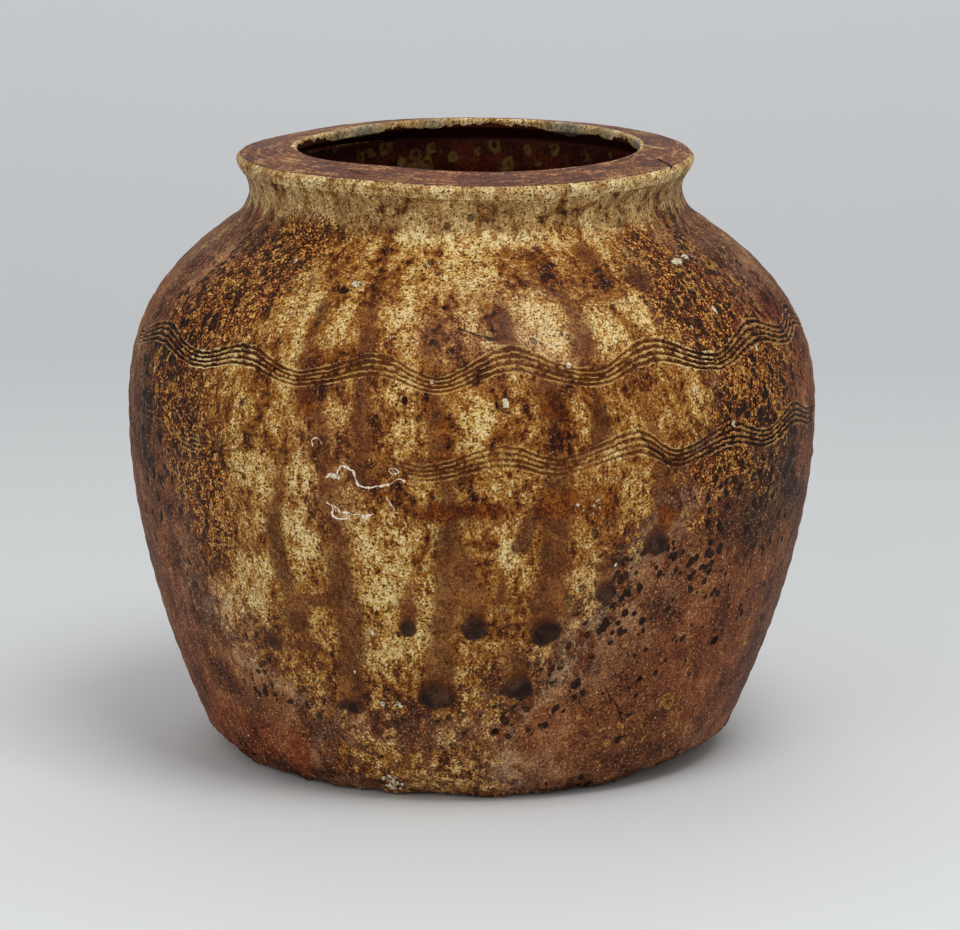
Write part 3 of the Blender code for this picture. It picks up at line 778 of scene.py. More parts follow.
    def beside_lines(self, lines):
        """How near the nearest line is, from 1 to 0 in a millimetre, and the side in its widths."""
        angle = self.full_angle + 0.2 * self.cloud(3, 27)
        height = self.height + 0.4 * self.cloud(3, 28)
        near, side = np.zeros_like(height), np.full(height.shape, 3.0)
        for half_width, points in lines:
            line = rounded(points)
            middle, span = (line.min(axis=0) + line.max(axis=0)) / 2, np.ptp(line, axis=0)
            block = self.block_near(*middle, max(math.radians(span[0]) * BELLY_RADIUS, span[1]) / 2 + 3)
            radius = wall_radius(middle[1])
            for start, end in zip(line, line[1:]):
                along = np.array([math.radians(end[0] - start[0]) * radius, end[1] - start[1]])
                x = np.radians(apart(angle[block], start[0])) * radius
                y = height[block] - start[1]
                share = np.clip((x * along[0] + y * along[1]) / (along @ along), 0, 1)
                nearness = np.clip(1.4 - np.hypot(x - share * along[0], y - share * along[1]), 0, 1)
                across = np.clip((x * along[1] - y * along[0]) / math.hypot(*along) / half_width, -3, 3)
                side[block] = np.where(nearness > near[block], across, side[block])
                near[block] = np.maximum(near[block], nearness)
        return near, side

    def mark(self):
        """Values over the skin that the finishes read, most from 0 to 1."""
        angle, height = self.full_angle, self.height
        wall = self.on("wall", "heel")
        outside = wall | self.on("rim") & (self.row_radius > RIM_RADIUS - RIM_ROUNDING)
        self.marks = marks = {}
        marks["ash"] = ash_cover(angle, height) * outside
        marks["run"] = runs(angle, height) * wall
        marks["drop"] = np.where(wall, sagging_drops(angle, height, 0.9 * self.cloud(5, 21, 3)), -1)
        self.mark_tone(outside)
        for name, places, shown in (
            ("ember", EMBER_SHARES, outside),
            ("red", RED_CLAY_SHARES, outside),
            ("dark", DARK_CLAY_SHARES, outside),
            # lilac patches, and the lamp's painted reflection on the shoulder
            ("lilac_and_sheen", LILAC_AND_SHEEN_SHARES, wall),
        ):
            marks[name] = self.patches(places) * shown
        marks["spot"] = self.scattered_ovals(SOOT_SHARES, 0.02, *IRON_SPOTS)
        marks["island"] = self.scattered_ovals(EMBER_SHARES, 0.0, *ASH_ISLANDS)
        marks["pit"] = self.ovals(PITS, 0.3 * self.cloud(2, 26))
        marks["grain"] = self.ovals(sand_grains())
        marks["cut"], marks["cut_side"] = self.beside_lines(CUTS)
        marks["flake"], marks["flake_side"] = self.beside_lines(FLAKED_LINES)
        # How black the grooves are; their darkness is partly painted shade
        upper, lower, groove_black = (
            np.interp(angle % 360, *wrapped_shares(shares))
            for shares in (UPPER_CLEAR_SHARES, LOWER_CLEAR_SHARES, BLACK_GROOVE_SHARES)
        )
        clear = np.where(self.row_height > (LOWER_BAND + UPPER_BAND) / 2, upper, lower)
        marks["clear"] = np.clip(clear + 0.25 * self.cloud(8, 30, 2), 0, 1) * wall
        marks["groove_black"] = groove_black
        marks["tines"] = np.where(wall, tine_phase(self.row_height), -TINES) + 0 * angle
        marks["neck"] = eased((height - NECK_ASH_HEIGHT + 2.5 * self.cloud(16, 29, 2)) / 6) * outside
        self.mark_rim()
        self.mark_inside()

    def scattered_ovals(self, crowds, base, seed, count, least, greatest):
        """Millimetres inside the nearest oval at each point; ovals crowd where the table says."""
        throw = np.random.default_rng(seed)
        first, last = self.start["heel"], self.start["rim"]
        places = throw.uniform(self.angle[0] + 3, self.angle[-1] - 3, count)
        levels = throw.uniform(self.along[first], self.along[last], count)
        heights = np.interp(levels, self.along[first:last], self.outline[first:last, 1])
        crowding = sum(patch(places, heights, *crowd) for crowd in crowds)
        crowding = base + np.clip(crowding, 0, 1.5) * (0.75 + 0.5 * cloud(places, heights, 11, seed, 2))
        kept = throw.uniform(0, 1, count) < crowding
        nearest = np.full(self.height.shape, -1.2)
        for place, level, radius in zip(places[kept], levels[kept], wall_radius(heights[kept])):
            size = least + (greatest - least) * throw.uniform() ** 3
            long, lean = throw.uniform(1.0, 1.7), throw.uniform(-0.9, 0.9)
            reach = size * long + 1.2
            low, high = np.searchsorted(self.along, (level - reach, level + reach))
            left, right = np.searchsorted(self.angle, place + np.degrees((-reach, reach)) / radius)
            up = (self.along[low:high] - level)[:, None]
            across = np.radians(self.angle[left:right] - place)[None, :] * radius
            along = up * math.cos(lean) + across * math.sin(lean)
            beside = across * math.cos(lean) - up * math.sin(lean)
            inside = size * (1 - np.hypot(along / (size * long), beside / size))
            block = nearest[low:high, left:right]
            np.maximum(block, inside, out=block)
        return nearest

    def mark_tone(self, outside):
        """How pale the ash is, from -1 to 1: pools, with a painted highlight line below the neck, brown
        veins between them, and a slow mottle.
        """
        angle, height = self.full_angle, self.height
        aside = 2.0 * self.cloud(9, 23, 2)
        pale_pools_and_highlight = self.patches(PALE_POOL_AND_HIGHLIGHT_SHARES, aside, 1.8 * self.cloud(7, 24, 2))
        mottle = 0.30 * self.cloud(7, 32, 3, 1.7) + 0.22 * self.cloud(19, 33, 2, 1.6)
        mottle = mottle + 0.36 * cloud(angle + aside, height, 6.5, 35, 2, 4.0)
        vein_field = cloud(angle + aside, height, 12, 34, 2, 1.7)
        veins = np.exp(-((vein_field / 0.09) ** 2)) * (1 - 0.7 * pale_pools_and_highlight)
        amber = self.patches(AMBER_SHARES, 2.4 * self.cloud(9, 25, 2))
        behind = eased((np.abs(apart(angle, 0)) - 60) / 25)
        tone = (0.85 + 0.2 * behind) * pale_pools_and_highlight + mottle - 0.45 * veins - 0.55 * amber
        self.marks["tone"] = np.clip(tone, -1, 1) * outside
        self.marks["amber"] = amber * outside

    def mark_rim(self):
        """The ash that hangs over the inner edge of the lip, and marks on the flat of the rim."""
        angle, radius, rim = self.full_angle, self.row_radius, self.on("rim")
        lip_start = np.argmax(rim & (radius < MOUTH_RADIUS + 0.5))
        down = (self.along - self.along[lip_start])[:, None]
        away = np.cos(np.radians(angle))
        hanging = 0
        for place, spread, share in LIP_PATCH_SHARES:
            hanging = np.maximum(hanging, share * swell(angle, place, spread))
        reach = LIP_ASH_REACH - LIP_ASH_LEAN * away + LIP_HANG * hanging
        reach = reach + 1.3 * cloud(angle, 0 * angle, 6, 31, 3)
        over = eased((down + 2.2 - 1.2 * away) / 1.2) * eased((reach - down) / 0.8)
        lip = np.where(rim & (radius < MOUTH_RADIUS + 6), over, 0) * eased(0.75 - away)
        flat = rim & (self.height > RIM_HEIGHT - 1) & (radius < RIM_RADIUS - 1)
        for place, level, size in RIM_MARKS:
            away_from = np.hypot(np.radians(apart(angle, place)) * radius, radius - level)
            lip = np.maximum(lip, 0.9 * eased(size - away_from) * flat)
        cuts = np.zeros_like(angle)
        for half_width, (angle_a, radius_a), (angle_b, radius_b) in RIM_CUTS:
            share = np.clip((radius - radius_a) / (radius_b - radius_a), 0, 1)
            across = np.abs(np.radians(apart(angle, angle_a + (angle_b - angle_a) * share))) * radius
            inside = (radius > radius_a) & (radius < radius_b)
            cuts = np.maximum(cuts, eased((2.2 * half_width - across) / half_width) * inside)
        self.marks["lip"] = lip
        self.marks["hang"] = np.where(rim, hanging * eased(down + 1), 0)
        self.marks["pit"] = np.where(flat, 2 * cuts - 1, self.marks["pit"])

    def mark_inside(self):
        """Rings of ash that dripped down the far inner wall."""
        rings = np.zeros_like(self.height)
        wobble = 1 + 0.3 * self.cloud(3, 62, 2)
        for place, level, size in INSIDE_RINGS:
            across = np.radians(apart(self.full_angle, place)) * THROAT_RADIUS
            away = np.hypot(across, 0.8 * (self.height - level)) * wobble
            rings = np.maximum(rings, np.exp(-(((away - 0.8 * size) / 0.9) ** 2)))
        rings = rings * (0.8 + 0.6 * self.cloud(6, 64))
        blots = 0.7 * eased(3 * self.cloud(8, 63, 2, 0.4) - 1.2)
        self.marks["ring"] = np.maximum(rings, blots) * self.on("inside")

    def wall_relief(self):
        """The relief of thrown clay, comb, glaze and marks on the wall and the heel."""
        height, marks = self.height, self.marks
        covered = eased((marks["ash"] - 0.3) * 3)
        rings = np.sin(height * math.tau / THROWN_PITCH + 1.2 * self.cloud(70, 51))
        ledges = np.tanh(4 * np.sin(height * math.tau / LEDGE_PITCH + 0.8 * self.cloud(40, 56)))
        ledges = ledges * swell(self.full_angle, LEDGE_ANGLE, LEDGE_SPREAD)
        ledges = ledges * eased((LEDGE_TOP - height) / 3)
        combed = comb_relief(self.row_height) * marks["clear"] * (1 + 0.3 * self.cloud(6, 55, 2))
        rough = HEEL_ROUGH_DEPTH * self.cloud(2.6, 59, 2) - HEEL_HOLLOW_DEPTH * eased(2 * self.cloud(6, 65))
        relief = (
            THROWN_DEPTH * rings
            + WIDE_LUMP_DEPTH * self.cloud(46, 52, 2)
            + SMALL_LUMP_DEPTH * self.cloud(9, 53, 2)
            + (GLAZED_SAND_DEPTH + BARE_SAND_DEPTH * (1 - covered)) * self.cloud(1.9, 54, 2)
            + ASH_DEPTH * covered
            + RUN_DEPTH * marks["run"]
            + AMBER_DEPTH * marks["amber"]
            + COMB_DEPTH * combed
            + DROP_DEPTH * eased(marks["drop"] * 1.8) * (height < DROP_TOP)
            + SPOT_DEPTH * eased(marks["spot"] * 2)
            + ISLAND_DEPTH * eased(marks["island"] * 2 + 0.4)
            + GRAIN_DEPTH * eased(marks["grain"] * 2)
            - PIT_DEPTH * eased(marks["pit"] * 2)
            - CUT_DEPTH * marks["cut"] * (np.abs(marks["cut_side"]) < 1.6)
            + LEDGE_DEPTH * ledges
        )
        return np.clip(relief, *RELIEF_LIMITS) * self.on("wall", "heel") + rough * self.on("heel")

    def rim_relief(self):
        """The relief of turning streaks, crust and hanging ash on the rim."""
        relief = (
            STREAK_DEPTH * cloud(self.full_angle * 0.4, 3 * self.along[:, None], 10, 57, 3)
            + RIM_SAND_DEPTH * self.cloud(2.4, 58, 2)
            + CRUST_DEPTH * self.cloud(1.4, 60, 2) * self.marks["neck"]
            + LIP_ASH_DEPTH * self.marks["lip"]
            - RIM_CUT_DEPTH * eased(self.marks["pit"])
        )
        return relief * self.on("rim")

    def raise_relief(self):
        """Moves the points along their normals by their relief, and keeps them in the jar's box."""
        relief = self.wall_relief() + self.rim_relief() - SKIN_DEPTH * eased(self.along / 6)[:, None]
        shift = np.where(self.on("heel", "wall", "rim"), relief, 0)
        low, high = (np.array(corner) / MM for corner in cad_box)
        self.points = np.clip(self.points + self.normals() * shift[..., None], low, high)
        self.normal = self.normals()


# Pieces


def strip_uvs(skin, first, last, strips):
    """A flat map of a piece: its band cut into strips, laid one above another."""
    turns = np.concatenate([[0], np.cumsum(np.radians(np.diff(skin.angle)))])
    arc = turns * skin.outline[first : last + 1, 0].mean()
    length = arc[-1] / strips
    strip = np.minimum((arc[:-1] / length).astype(int), strips - 1)
    left = arc[:-1] - strip * length
    rows = skin.along[first : last + 1] - skin.along[first]
    pitch = rows[-1] + 0.012 * length
    shape = (last - first, len(left))
    u0, u1 = np.broadcast_to(left, shape), np.broadcast_to(left + np.diff(arc), shape)
    v0, v1 = rows[:-1, None] + strip * pitch, rows[1:, None] + strip * pitch
    corners = np.stack([u0, v0, u1, v0, u1, v1, u0, v1], axis=-1).reshape(-1, 2)
    return corners / (max(length, strips * pitch) * 1.01) + 0.003


def skin_piece(skin, name, first, last, strips, material, cap=None):
    """A band of the skin as a piece of the jar, with its marks and its map."""
    columns = len(skin.angle) - 1
    part = np.s_[first : last + 1, :columns]
    grid = np.arange(skin.points[part][..., 0].size).reshape(-1, columns)
    right = np.roll(grid, -1, axis=1)
    quads = np.stack([grid[:-1], right[:-1], right[1:], grid[1:]], axis=-1).reshape(-1, 4)
    faces = list(map(tuple, quads.tolist()))
    uvs = strip_uvs(skin, first, last, strips)
    if cap is not None:
        ring = grid[cap].tolist()
        faces.append(tuple(ring[::-1] if cap == 0 else ring))
        turn = np.radians(skin.angle[:-1]) * (-1 if cap == 0 else 1)
        uvs = np.vstack([uvs, np.column_stack([np.cos(turn), np.sin(turn)]) * 0.006 + 0.985])
    mesh = bpy.data.meshes.new(name)
    mesh.from_pydata(skin.points[part].reshape(-1, 3) * MM, [], faces)
    mesh.uv_layers.new(name="OFBake").data.foreach_set("uv", uvs.astype(np.float32).ravel())
    for mark, values in skin.marks.items():
        layer = mesh.attributes.new(mark, "FLOAT", "POINT")
        layer.data.foreach_set("value", values[part].astype(np.float32).ravel())
    mesh.materials.append(material)
    mesh.shade_smooth()
    mesh.normals_split_custom_set_from_vertices(skin.normal[part].reshape(-1, 3))
    piece = linked(name, mesh)
    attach(piece, "root")
    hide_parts("jar")


def linked(name, data):
    """A new object in the scene."""
    thing = bpy.data.objects.new(name, data)
    bpy.context.scene.collection.objects.link(thing)
    return thing


# Colours


def tint(red, green, blue):
    """A colour as it looks on a screen, from 0 to 255, as the shader's linear values."""
    channels = []
    for value in (red, green, blue):
        share = value / 255
        channels.append(share / 12.92 if share <= 0.04045 else ((share + 0.055) / 1.055) ** 2.4)
    return (*channels, 1)


class Nodes:
    """A small hand for wiring a node tree. What it is given holds the textures that swings name."""

    def __init__(self, tree):
        self.tree = tree
        self.given = {}

    def add(self, kind, settings=(), **inputs):
        node = self.tree.nodes.new(kind)
        for name, value in dict(settings).items():
            setattr(node, name, value)
        for name, value in inputs.items():
            self.feed(node.inputs[name], value)
        return node

    def feed(self, socket, value):
        if isinstance(value, bpy.types.NodeSocket):
            self.tree.links.new(value, socket)
        else:
            socket.default_value = value

    def math(self, operation, first, second=0.0):
        node = self.add("ShaderNodeMath", {"operation": operation})
        self.feed(node.inputs[0], first)
        self.feed(node.inputs[1], second)
        return node.outputs[0]

    def vector(self, operation, first, second=None):
        node = self.add("ShaderNodeVectorMath", {"operation": operation}, Vector=first)
        if second is not None:
            self.feed(node.inputs[1], second)
        return node.outputs

    def times(self, first, second):
        return self.math("MULTIPLY", first, second)

    def sum(self, base, *parts):
        """A base value plus each part times its amount."""
        for value, amount in parts:
            base = self.math("ADD", base, self.math("MULTIPLY", value, amount))
        return base

    def swing(self, base, **amounts):
        """A base value plus each named texture's distance from 0.5, times its amount."""
        away = [(self.math("SUBTRACT", self.given[name], 0.5), amount) for name, amount in amounts.items()]
        return self.sum(base, *away)

    def step(self, value, low, high, to_low=0.0, to_high=1.0):
        ends = {"From Min": low, "From Max": high, "To Min": to_low, "To Max": to_high}
        settings = {"interpolation_type": "SMOOTHSTEP"}
        return self.add("ShaderNodeMapRange", settings, Value=value, **ends).outputs[0]

    def over(self, value, level, softness):
        """1 where a value is above a level, which may vary, with a soft edge."""
        return self.step(self.math("SUBTRACT", value, level), 0.0, softness)

    def mark(self, name):
        return self.add("ShaderNodeAttribute", {"attribute_name": name}).outputs["Fac"]

    def marked(self, name, low, high, **amounts):
        """Where a mark of the skin lies, its edge made rough by textures."""
        return self.step(self.swing(self.mark(name), **amounts), low, high)

    def blend(self, share, first, second):
        node = self.add("ShaderNodeMix", {"data_type": "RGBA"})
        for index, value in ((0, share), (6, first), (7, second)):
            self.feed(node.inputs[index], value)
        return node.outputs[2]

    def paint(self, colour, ink, share, strength=None):
        """A colour with another laid over it by a share, and by how strongly it covers."""
        return self.blend(share if strength is None else self.times(share, strength), colour, ink)

    def ramp(self, value, stops):
        node = self.add("ShaderNodeValToRGB", Fac=value)
        elements = node.color_ramp.elements
        while len(elements) < len(stops):
            elements.new(0.5)
        for element, (place, colour) in zip(elements, stops):
            element.position = place
            element.color = colour
        return node.outputs[0]

    def shades(self, value, *stops):
        """A run of colours, each stop a place and the colour as it looks on a screen."""
        return self.ramp(value, [(place, tint(*colour)) for place, *colour in stops])

    def spot(self):
        return self.add("ShaderNodeTexCoord").outputs["Object"]

    def place(self, stretch=1.0, seed=0.0):
        """The point on the jar, squeezed upright so that patterns on it stretch, and shifted."""
        node = self.add("ShaderNodeMapping", Vector=self.spot())
        node.inputs["Scale"].default_value = (1, 1, 1 / stretch)
        node.inputs["Location"].default_value = (seed, 2 * seed, 3 * seed)
        return node.outputs[0]

    def noise(self, size, detail, stretch=1.0, seed=0.0, warp=0.0):
        """Noise around 0.5 with features of a size in millimetres."""
        settings = {"Scale": 1 / (size * MM), "Detail": detail, "Roughness": 0.6, "Distortion": warp}
        return self.add("ShaderNodeTexNoise", Vector=self.place(stretch, seed), **settings).outputs[0]

    def share_textures(self):
        """The noises that the outer finishes share, from slow to fine."""
        self.given = {
            "Tone": self.noise(17, 2),
            "Patch": self.noise(6, 3, 1.7, 0.53, 0.6),
            "Blot": self.noise(2.5, 2, 1.45, 0.11),
            "Crumb": self.noise(1.5, 2, 1.15, 0.23, 0.9),
            "Grain": self.noise(0.75, 1, 1.0, 0.37),
        }

    def effect(self, group, **inputs):
        """A group's outputs, its inputs fed with the textures and with these values."""
        node = self.add("ShaderNodeGroup")
        node.node_tree = group
        for name, value in {**self.given, **inputs}.items():
            self.feed(node.inputs[name], value)
        return node.outputs

    def give(self, colour, rough, height):
        """Ends a group with its colour, its roughness and its height."""
        outputs = self.add("NodeGroupOutput").inputs
        for name, value in (("Colour", colour), ("Rough", rough), ("Height", height)):
            self.feed(outputs[name], value)


def new_group(name, **inputs):
    """A node group that takes the textures and some values, and gives what a finish needs."""
    group = bpy.data.node_groups.new(name, "ShaderNodeTree")
    textures = dict.fromkeys(("Tone", "Patch", "Blot", "Crumb", "Grain"), 0.5)
    for title, default in {**textures, **inputs}.items():
        socket = group.interface.new_socket(title, in_out="INPUT", socket_type="NodeSocketFloat")
        socket.default_value = default
    for title, kind in (("Colour", "Color"), ("Rough", "Float"), ("Height", "Float")):
        group.interface.new_socket(title, in_out="OUTPUT", socket_type="NodeSocket" + kind)
    nodes = Nodes(group)
    nodes.given = nodes.add("NodeGroupInput").outputs
    return group, nodes


def clay_group():
    """Fired clay: red-brown with sandy grain, small black specks and a few white grains."""
    group, nodes = new_group("fired_clay", Red=0.0, Dark=0.0, Scoured=0.0)
    given = nodes.given
    # The fine textures raise the colour with the bump, and the black specks sit in its low spots: painted
    # shade in the sandy grain, over the clay's own speckle
    value = nodes.swing(0.5, Tone=0.9, Patch=0.5, Blot=0.35, Crumb=0.5, Grain=0.85)
    colour = nodes.shades(
        value, (0.15, 40, 20, 9), (0.34, 88, 44, 20), (0.45, 108, 62, 36), (0.54, 130, 72, 38),
        (0.68, 148, 94, 56), (0.95, 206, 158, 106),
    )
    ruddy = nodes.shades(
        value, (0.15, 38, 12, 4), (0.36, 84, 32, 12), (0.52, 120, 54, 24), (0.70, 152, 82, 40),
        (0.95, 204, 150, 96),
    )
    # Darker clay where the dark share lies
    darker_clay = nodes.shades(value, (0.25, 24, 10, 4), (0.55, 66, 36, 19), (0.9, 124, 82, 48))
    # Paler clay where the ash scoured it, and painted sheen where the wall adds its lilac share
    scoured_and_sheen = nodes.shades(
        value, (0.2, 58, 36, 24), (0.42, 108, 78, 58), (0.55, 144, 108, 82), (0.85, 194, 156, 112)
    )
    dots = nodes.over(0.36, given["Crumb"], 0.03)
    white = nodes.over(given["Grain"], 0.67, 0.03)
    for ink, share, strength in (
        (ruddy, given["Red"], None),
        (darker_clay, given["Dark"], 0.8),
        (scoured_and_sheen, given["Scoured"], 0.7),
        (tint(30, 18, 12), dots, 0.7),
        (tint(214, 180, 128), white, 0.7),
    ):
        colour = nodes.paint(colour, ink, share, strength)
    rough = nodes.sum(0.60, (dots, -0.15), (given["Dark"], -0.06))
    nodes.give(colour, rough, nodes.sum(0.0, (given["Crumb"], 1.1), (given["Grain"], 0.8), (white, 0.3)))
    return group


def fine_pits(nodes, crusty):
    """Where small round pits lie, most of them in crusty ash."""
    cells = nodes.add("ShaderNodeTexVoronoi", Vector=nodes.place(1.0, 0.83), Scale=1 / (1.7 * MM))
    random = nodes.add("ShaderNodeSeparateColor", Color=cells.outputs["Color"]).outputs
    crowd = nodes.swing(nodes.times(crusty, 0.36), Patch=1.2)
    inside = nodes.over(nodes.step(random[1], 0, 1, 0.10, 0.30), cells.outputs["Distance"], 0.08)
    return nodes.times(inside, nodes.over(crowd, random[0], 0.05))


def ash_group():
    """Melted ash: straw pools with amber between, and pale grains."""
    group, nodes = new_group("melted_ash", Pale=0.0, Thick=1.0, Neck=0.0, Bloom=0.0)
    given = nodes.given
    patch, crumb, grain, neck = (given[name] for name in ("Patch", "Crumb", "Grain", "Neck"))
    value = nodes.sum(nodes.swing(0.375, Tone=0.5, Patch=0.8, Blot=0.9), (given["Pale"], 0.42))
    crusty = nodes.step(value, 0.30, 0.62, 0.45, 1.2)
    # Crumb and grain raise the colour with the bump, and the dark pits and specks below sit in its low
    # spots: painted shade in the fine grain, over the ash's own speckle
    value = nodes.math("ADD", value, nodes.times(nodes.swing(0.0, Crumb=0.75, Grain=1.1), crusty))
    thick = nodes.shades(
        value, (0.00, 60, 20, 3), (0.20, 110, 57, 13), (0.40, 154, 97, 36), (0.58, 184, 138, 68),
        (0.76, 212, 177, 106), (0.98, 240, 218, 160),
    )
    thin = nodes.shades(
        value, (0.02, 26, 8, 2), (0.26, 80, 33, 6), (0.46, 136, 76, 15), (0.66, 182, 124, 38),
        (0.90, 224, 184, 98),
    )
    dusty = nodes.shades(
        value, (0.00, 92, 58, 24), (0.26, 160, 120, 70), (0.50, 196, 160, 102), (0.72, 222, 190, 130),
        (0.94, 248, 230, 182),
    )
    # Lilac colour: partly the overhead lamp's painted reflection on the shoulder glaze
    lilac_sheen_colour = nodes.shades(value, (0.2, 124, 82, 62), (0.8, 222, 184, 150))
    hole = nodes.shades(given["Blot"], (0.40, 66, 24, 10), (0.50, 38, 18, 10), (0.60, 92, 48, 18))
    pit = nodes.over(nodes.sum(0.33, (crusty, 0.03)), crumb, 0.03)
    pale = nodes.over(grain, nodes.sum(0.66, (crusty, -0.02)), 0.035)
    pale = nodes.times(pale, nodes.step(crusty, 0.5, 1, 0.3, 1))
    colour = nodes.blend(given["Thick"], thin, thick)
    for ink, share, strength in (
        (dusty, neck, nodes.step(patch, 0.38, 0.5, 0.35, 1)),
        (lilac_sheen_colour, given["Bloom"], nodes.step(patch, 0.35, 0.6, 0.12, 0.4)),
        (hole, nodes.times(pit, nodes.step(value, 0.1, 0.5, 0.3, 1)), 0.85),
        (tint(32, 18, 10), nodes.over(nodes.sum(0.37, (neck, 0.015)), grain, 0.02), 0.8),
        (tint(30, 16, 8), fine_pits(nodes, crusty), 0.85),
        (tint(248, 232, 188), pale, 0.75),
    ):
        colour = nodes.paint(colour, ink, share, strength)
    rough = nodes.sum(0.34, (crumb, 0.16), (neck, 0.14))
    nodes.give(colour, rough, nodes.sum(0.0, (crumb, 0.9), (grain, 0.7), (pale, 0.3)))
    return group


def new_material(name):
    material = bpy.data.materials.new(name)
    material.use_nodes = True
    nodes = Nodes(material.node_tree)
    return material, nodes, material.node_tree.nodes["Principled BSDF"]


def finish_shader(nodes, shader, colour, rough, height, depth):
    """Feeds the shader, with the fine relief as a bump of a depth in millimetres."""
    shader.inputs["Specular IOR Level"].default_value = SHINE
    nodes.feed(shader.inputs["Base Color"], colour)
    nodes.feed(shader.inputs["Roughness"], rough)
    bump = nodes.add("ShaderNodeBump", Height=height, Strength=1.0, Distance=depth * MM)
    nodes.feed(shader.inputs["Normal"], bump.outputs[0])


def wall_material(clay, ash):
    """The outer wall: clay, and over it the broken, running ash glaze."""
    material, nodes, shader = new_material("ash_glazed_wall")
    nodes.share_textures()
    mark = nodes.mark
    ash_mark, run, lilac_and_sheen = mark("ash"), mark("run"), mark("lilac_and_sheen")
    # Scoured clay by the ash's edge, plus painted lamp sheen where the lilac share lies
    scoured_and_sheen = nodes.sum(nodes.step(ash_mark, 0.02, 0.2), (lilac_and_sheen, 1.0))
    scoured_and_sheen = nodes.times(scoured_and_sheen, nodes.step(nodes.given["Patch"], 0.36, 0.52))
    bare = nodes.effect(clay, Red=mark("red"), Dark=mark("dark"), Scoured=scoured_and_sheen)
    cover = nodes.swing(ash_mark, Crumb=1.2, Blot=1.0, Patch=1.5)
    covered, thick = nodes.step(cover, 0.44, 0.52), nodes.step(cover, 0.46, 1.0)
    glaze = nodes.effect(ash, Pale=mark("tone"), Thick=thick, Neck=mark("neck"), Bloom=lilac_and_sheen)
    uncovered = nodes.math("SUBTRACT", 1.0, covered)
    rough, height = (
        nodes.sum(nodes.times(glaze[name], covered), (bare[name], uncovered))
        for name in ("Rough", "Height")
    )
    colour = nodes.paint(bare["Colour"], glaze["Colour"], covered)
    colour = ember_colour(nodes, colour)
    colour = island_colour(nodes, colour)
    colour = spot_colour(nodes, colour, ash_mark, uncovered)
    colour = run_colour(nodes, colour, covered)
    colour = comb_colour(nodes, colour, covered)
    colour, drop = drop_colour(nodes, colour)
    colour = mark_colour(nodes, colour)
    rough = nodes.sum(rough, (drop, -0.10), (run, -0.06))
    calm = nodes.sum(1.0, (drop, -0.8), (run, -0.4))
    height = nodes.times(nodes.sum(height, (covered, 0.35)), calm)
    finish_shader(nodes, shader, colour, rough, height, 0.2)
    return material


def ember_colour(nodes, colour):
    """Thin ash beside the glaze: burnt maroon and black, with orange and straw crumbs."""
    crumbs = nodes.shades(
        nodes.swing(0.5, Blot=0.6, Crumb=1.4, Grain=1.6), (0.28, 14, 4, 2), (0.43, 80, 29, 10),
        (0.56, 124, 57, 20), (0.68, 174, 102, 30), (0.83, 234, 186, 100),
    )
    return nodes.paint(colour, crumbs, nodes.marked("ember", 0.2, 0.75, Patch=2.0, Blot=1.0), 0.9)


def island_colour(nodes, colour):
    """Lone drops of ash on the clay: amber inside, with a paler outline."""
    crumb, grain = nodes.given["Crumb"], nodes.given["Grain"]
    field = nodes.swing(nodes.mark("island"), Crumb=2.2, Blot=2.4)
    amber = nodes.shades(
        nodes.swing(crumb, Grain=0.7), (0.35, 72, 32, 10), (0.5, 138, 82, 26), (0.65, 196, 148, 70)
    )
    pale = nodes.shades(grain, (0.4, 152, 98, 34), (0.6, 222, 180, 98))
    colour = nodes.paint(colour, amber, nodes.step(field, 0.0, 0.3), 0.6)
    return nodes.paint(colour, pale, nodes.over(0.32, nodes.math("ABSOLUTE", field), 0.3), 0.75)


def spot_colour(nodes, colour, ash, uncovered):
    """Black iron spots, and olive ones where the ash begins."""
    near_ash = nodes.times(nodes.step(ash, 0.02, 0.15), nodes.step(ash, 0.5, 0.8, 1, 0))
    field = nodes.swing(nodes.mark("spot"), Crumb=1.0, Blot=0.7)
    dark = nodes.shades(nodes.given["Grain"], (0.35, 10, 5, 3), (0.62, 36, 22, 15))
    olive = nodes.shades(nodes.given["Grain"], (0.35, 30, 13, 5), (0.65, 78, 45, 20))
    ink = nodes.paint(dark, olive, nodes.step(field, 0.35, 0.55), near_ash)
    return nodes.paint(colour, ink, nodes.step(field, 0.02, 0.2), nodes.step(uncovered, 0, 1, 0.7, 0.95))


def run_colour(nodes, colour, covered):
    """Brown over the runs, clear enough for the ash to show through, and amber pools."""
    soft = nodes.swing(0.5, Tone=0.8, Crumb=0.6, Grain=0.4)
    brown = nodes.shades(soft, (0.3, 62, 29, 12), (0.5, 100, 54, 25), (0.7, 142, 90, 42))
    amber = nodes.shades(soft, (0.32, 46, 11, 0), (0.5, 100, 41, 4), (0.68, 164, 94, 24))
    run = nodes.times(nodes.marked("run", 0.16, 0.64, Patch=0.9, Blot=0.6), 0.88)
    colour = nodes.paint(colour, brown, run, nodes.step(covered, 0, 1, 0.3, 1))
    return nodes.paint(colour, amber, nodes.marked("amber", 0.15, 0.85, Blot=1.3, Patch=1.0), 0.9)


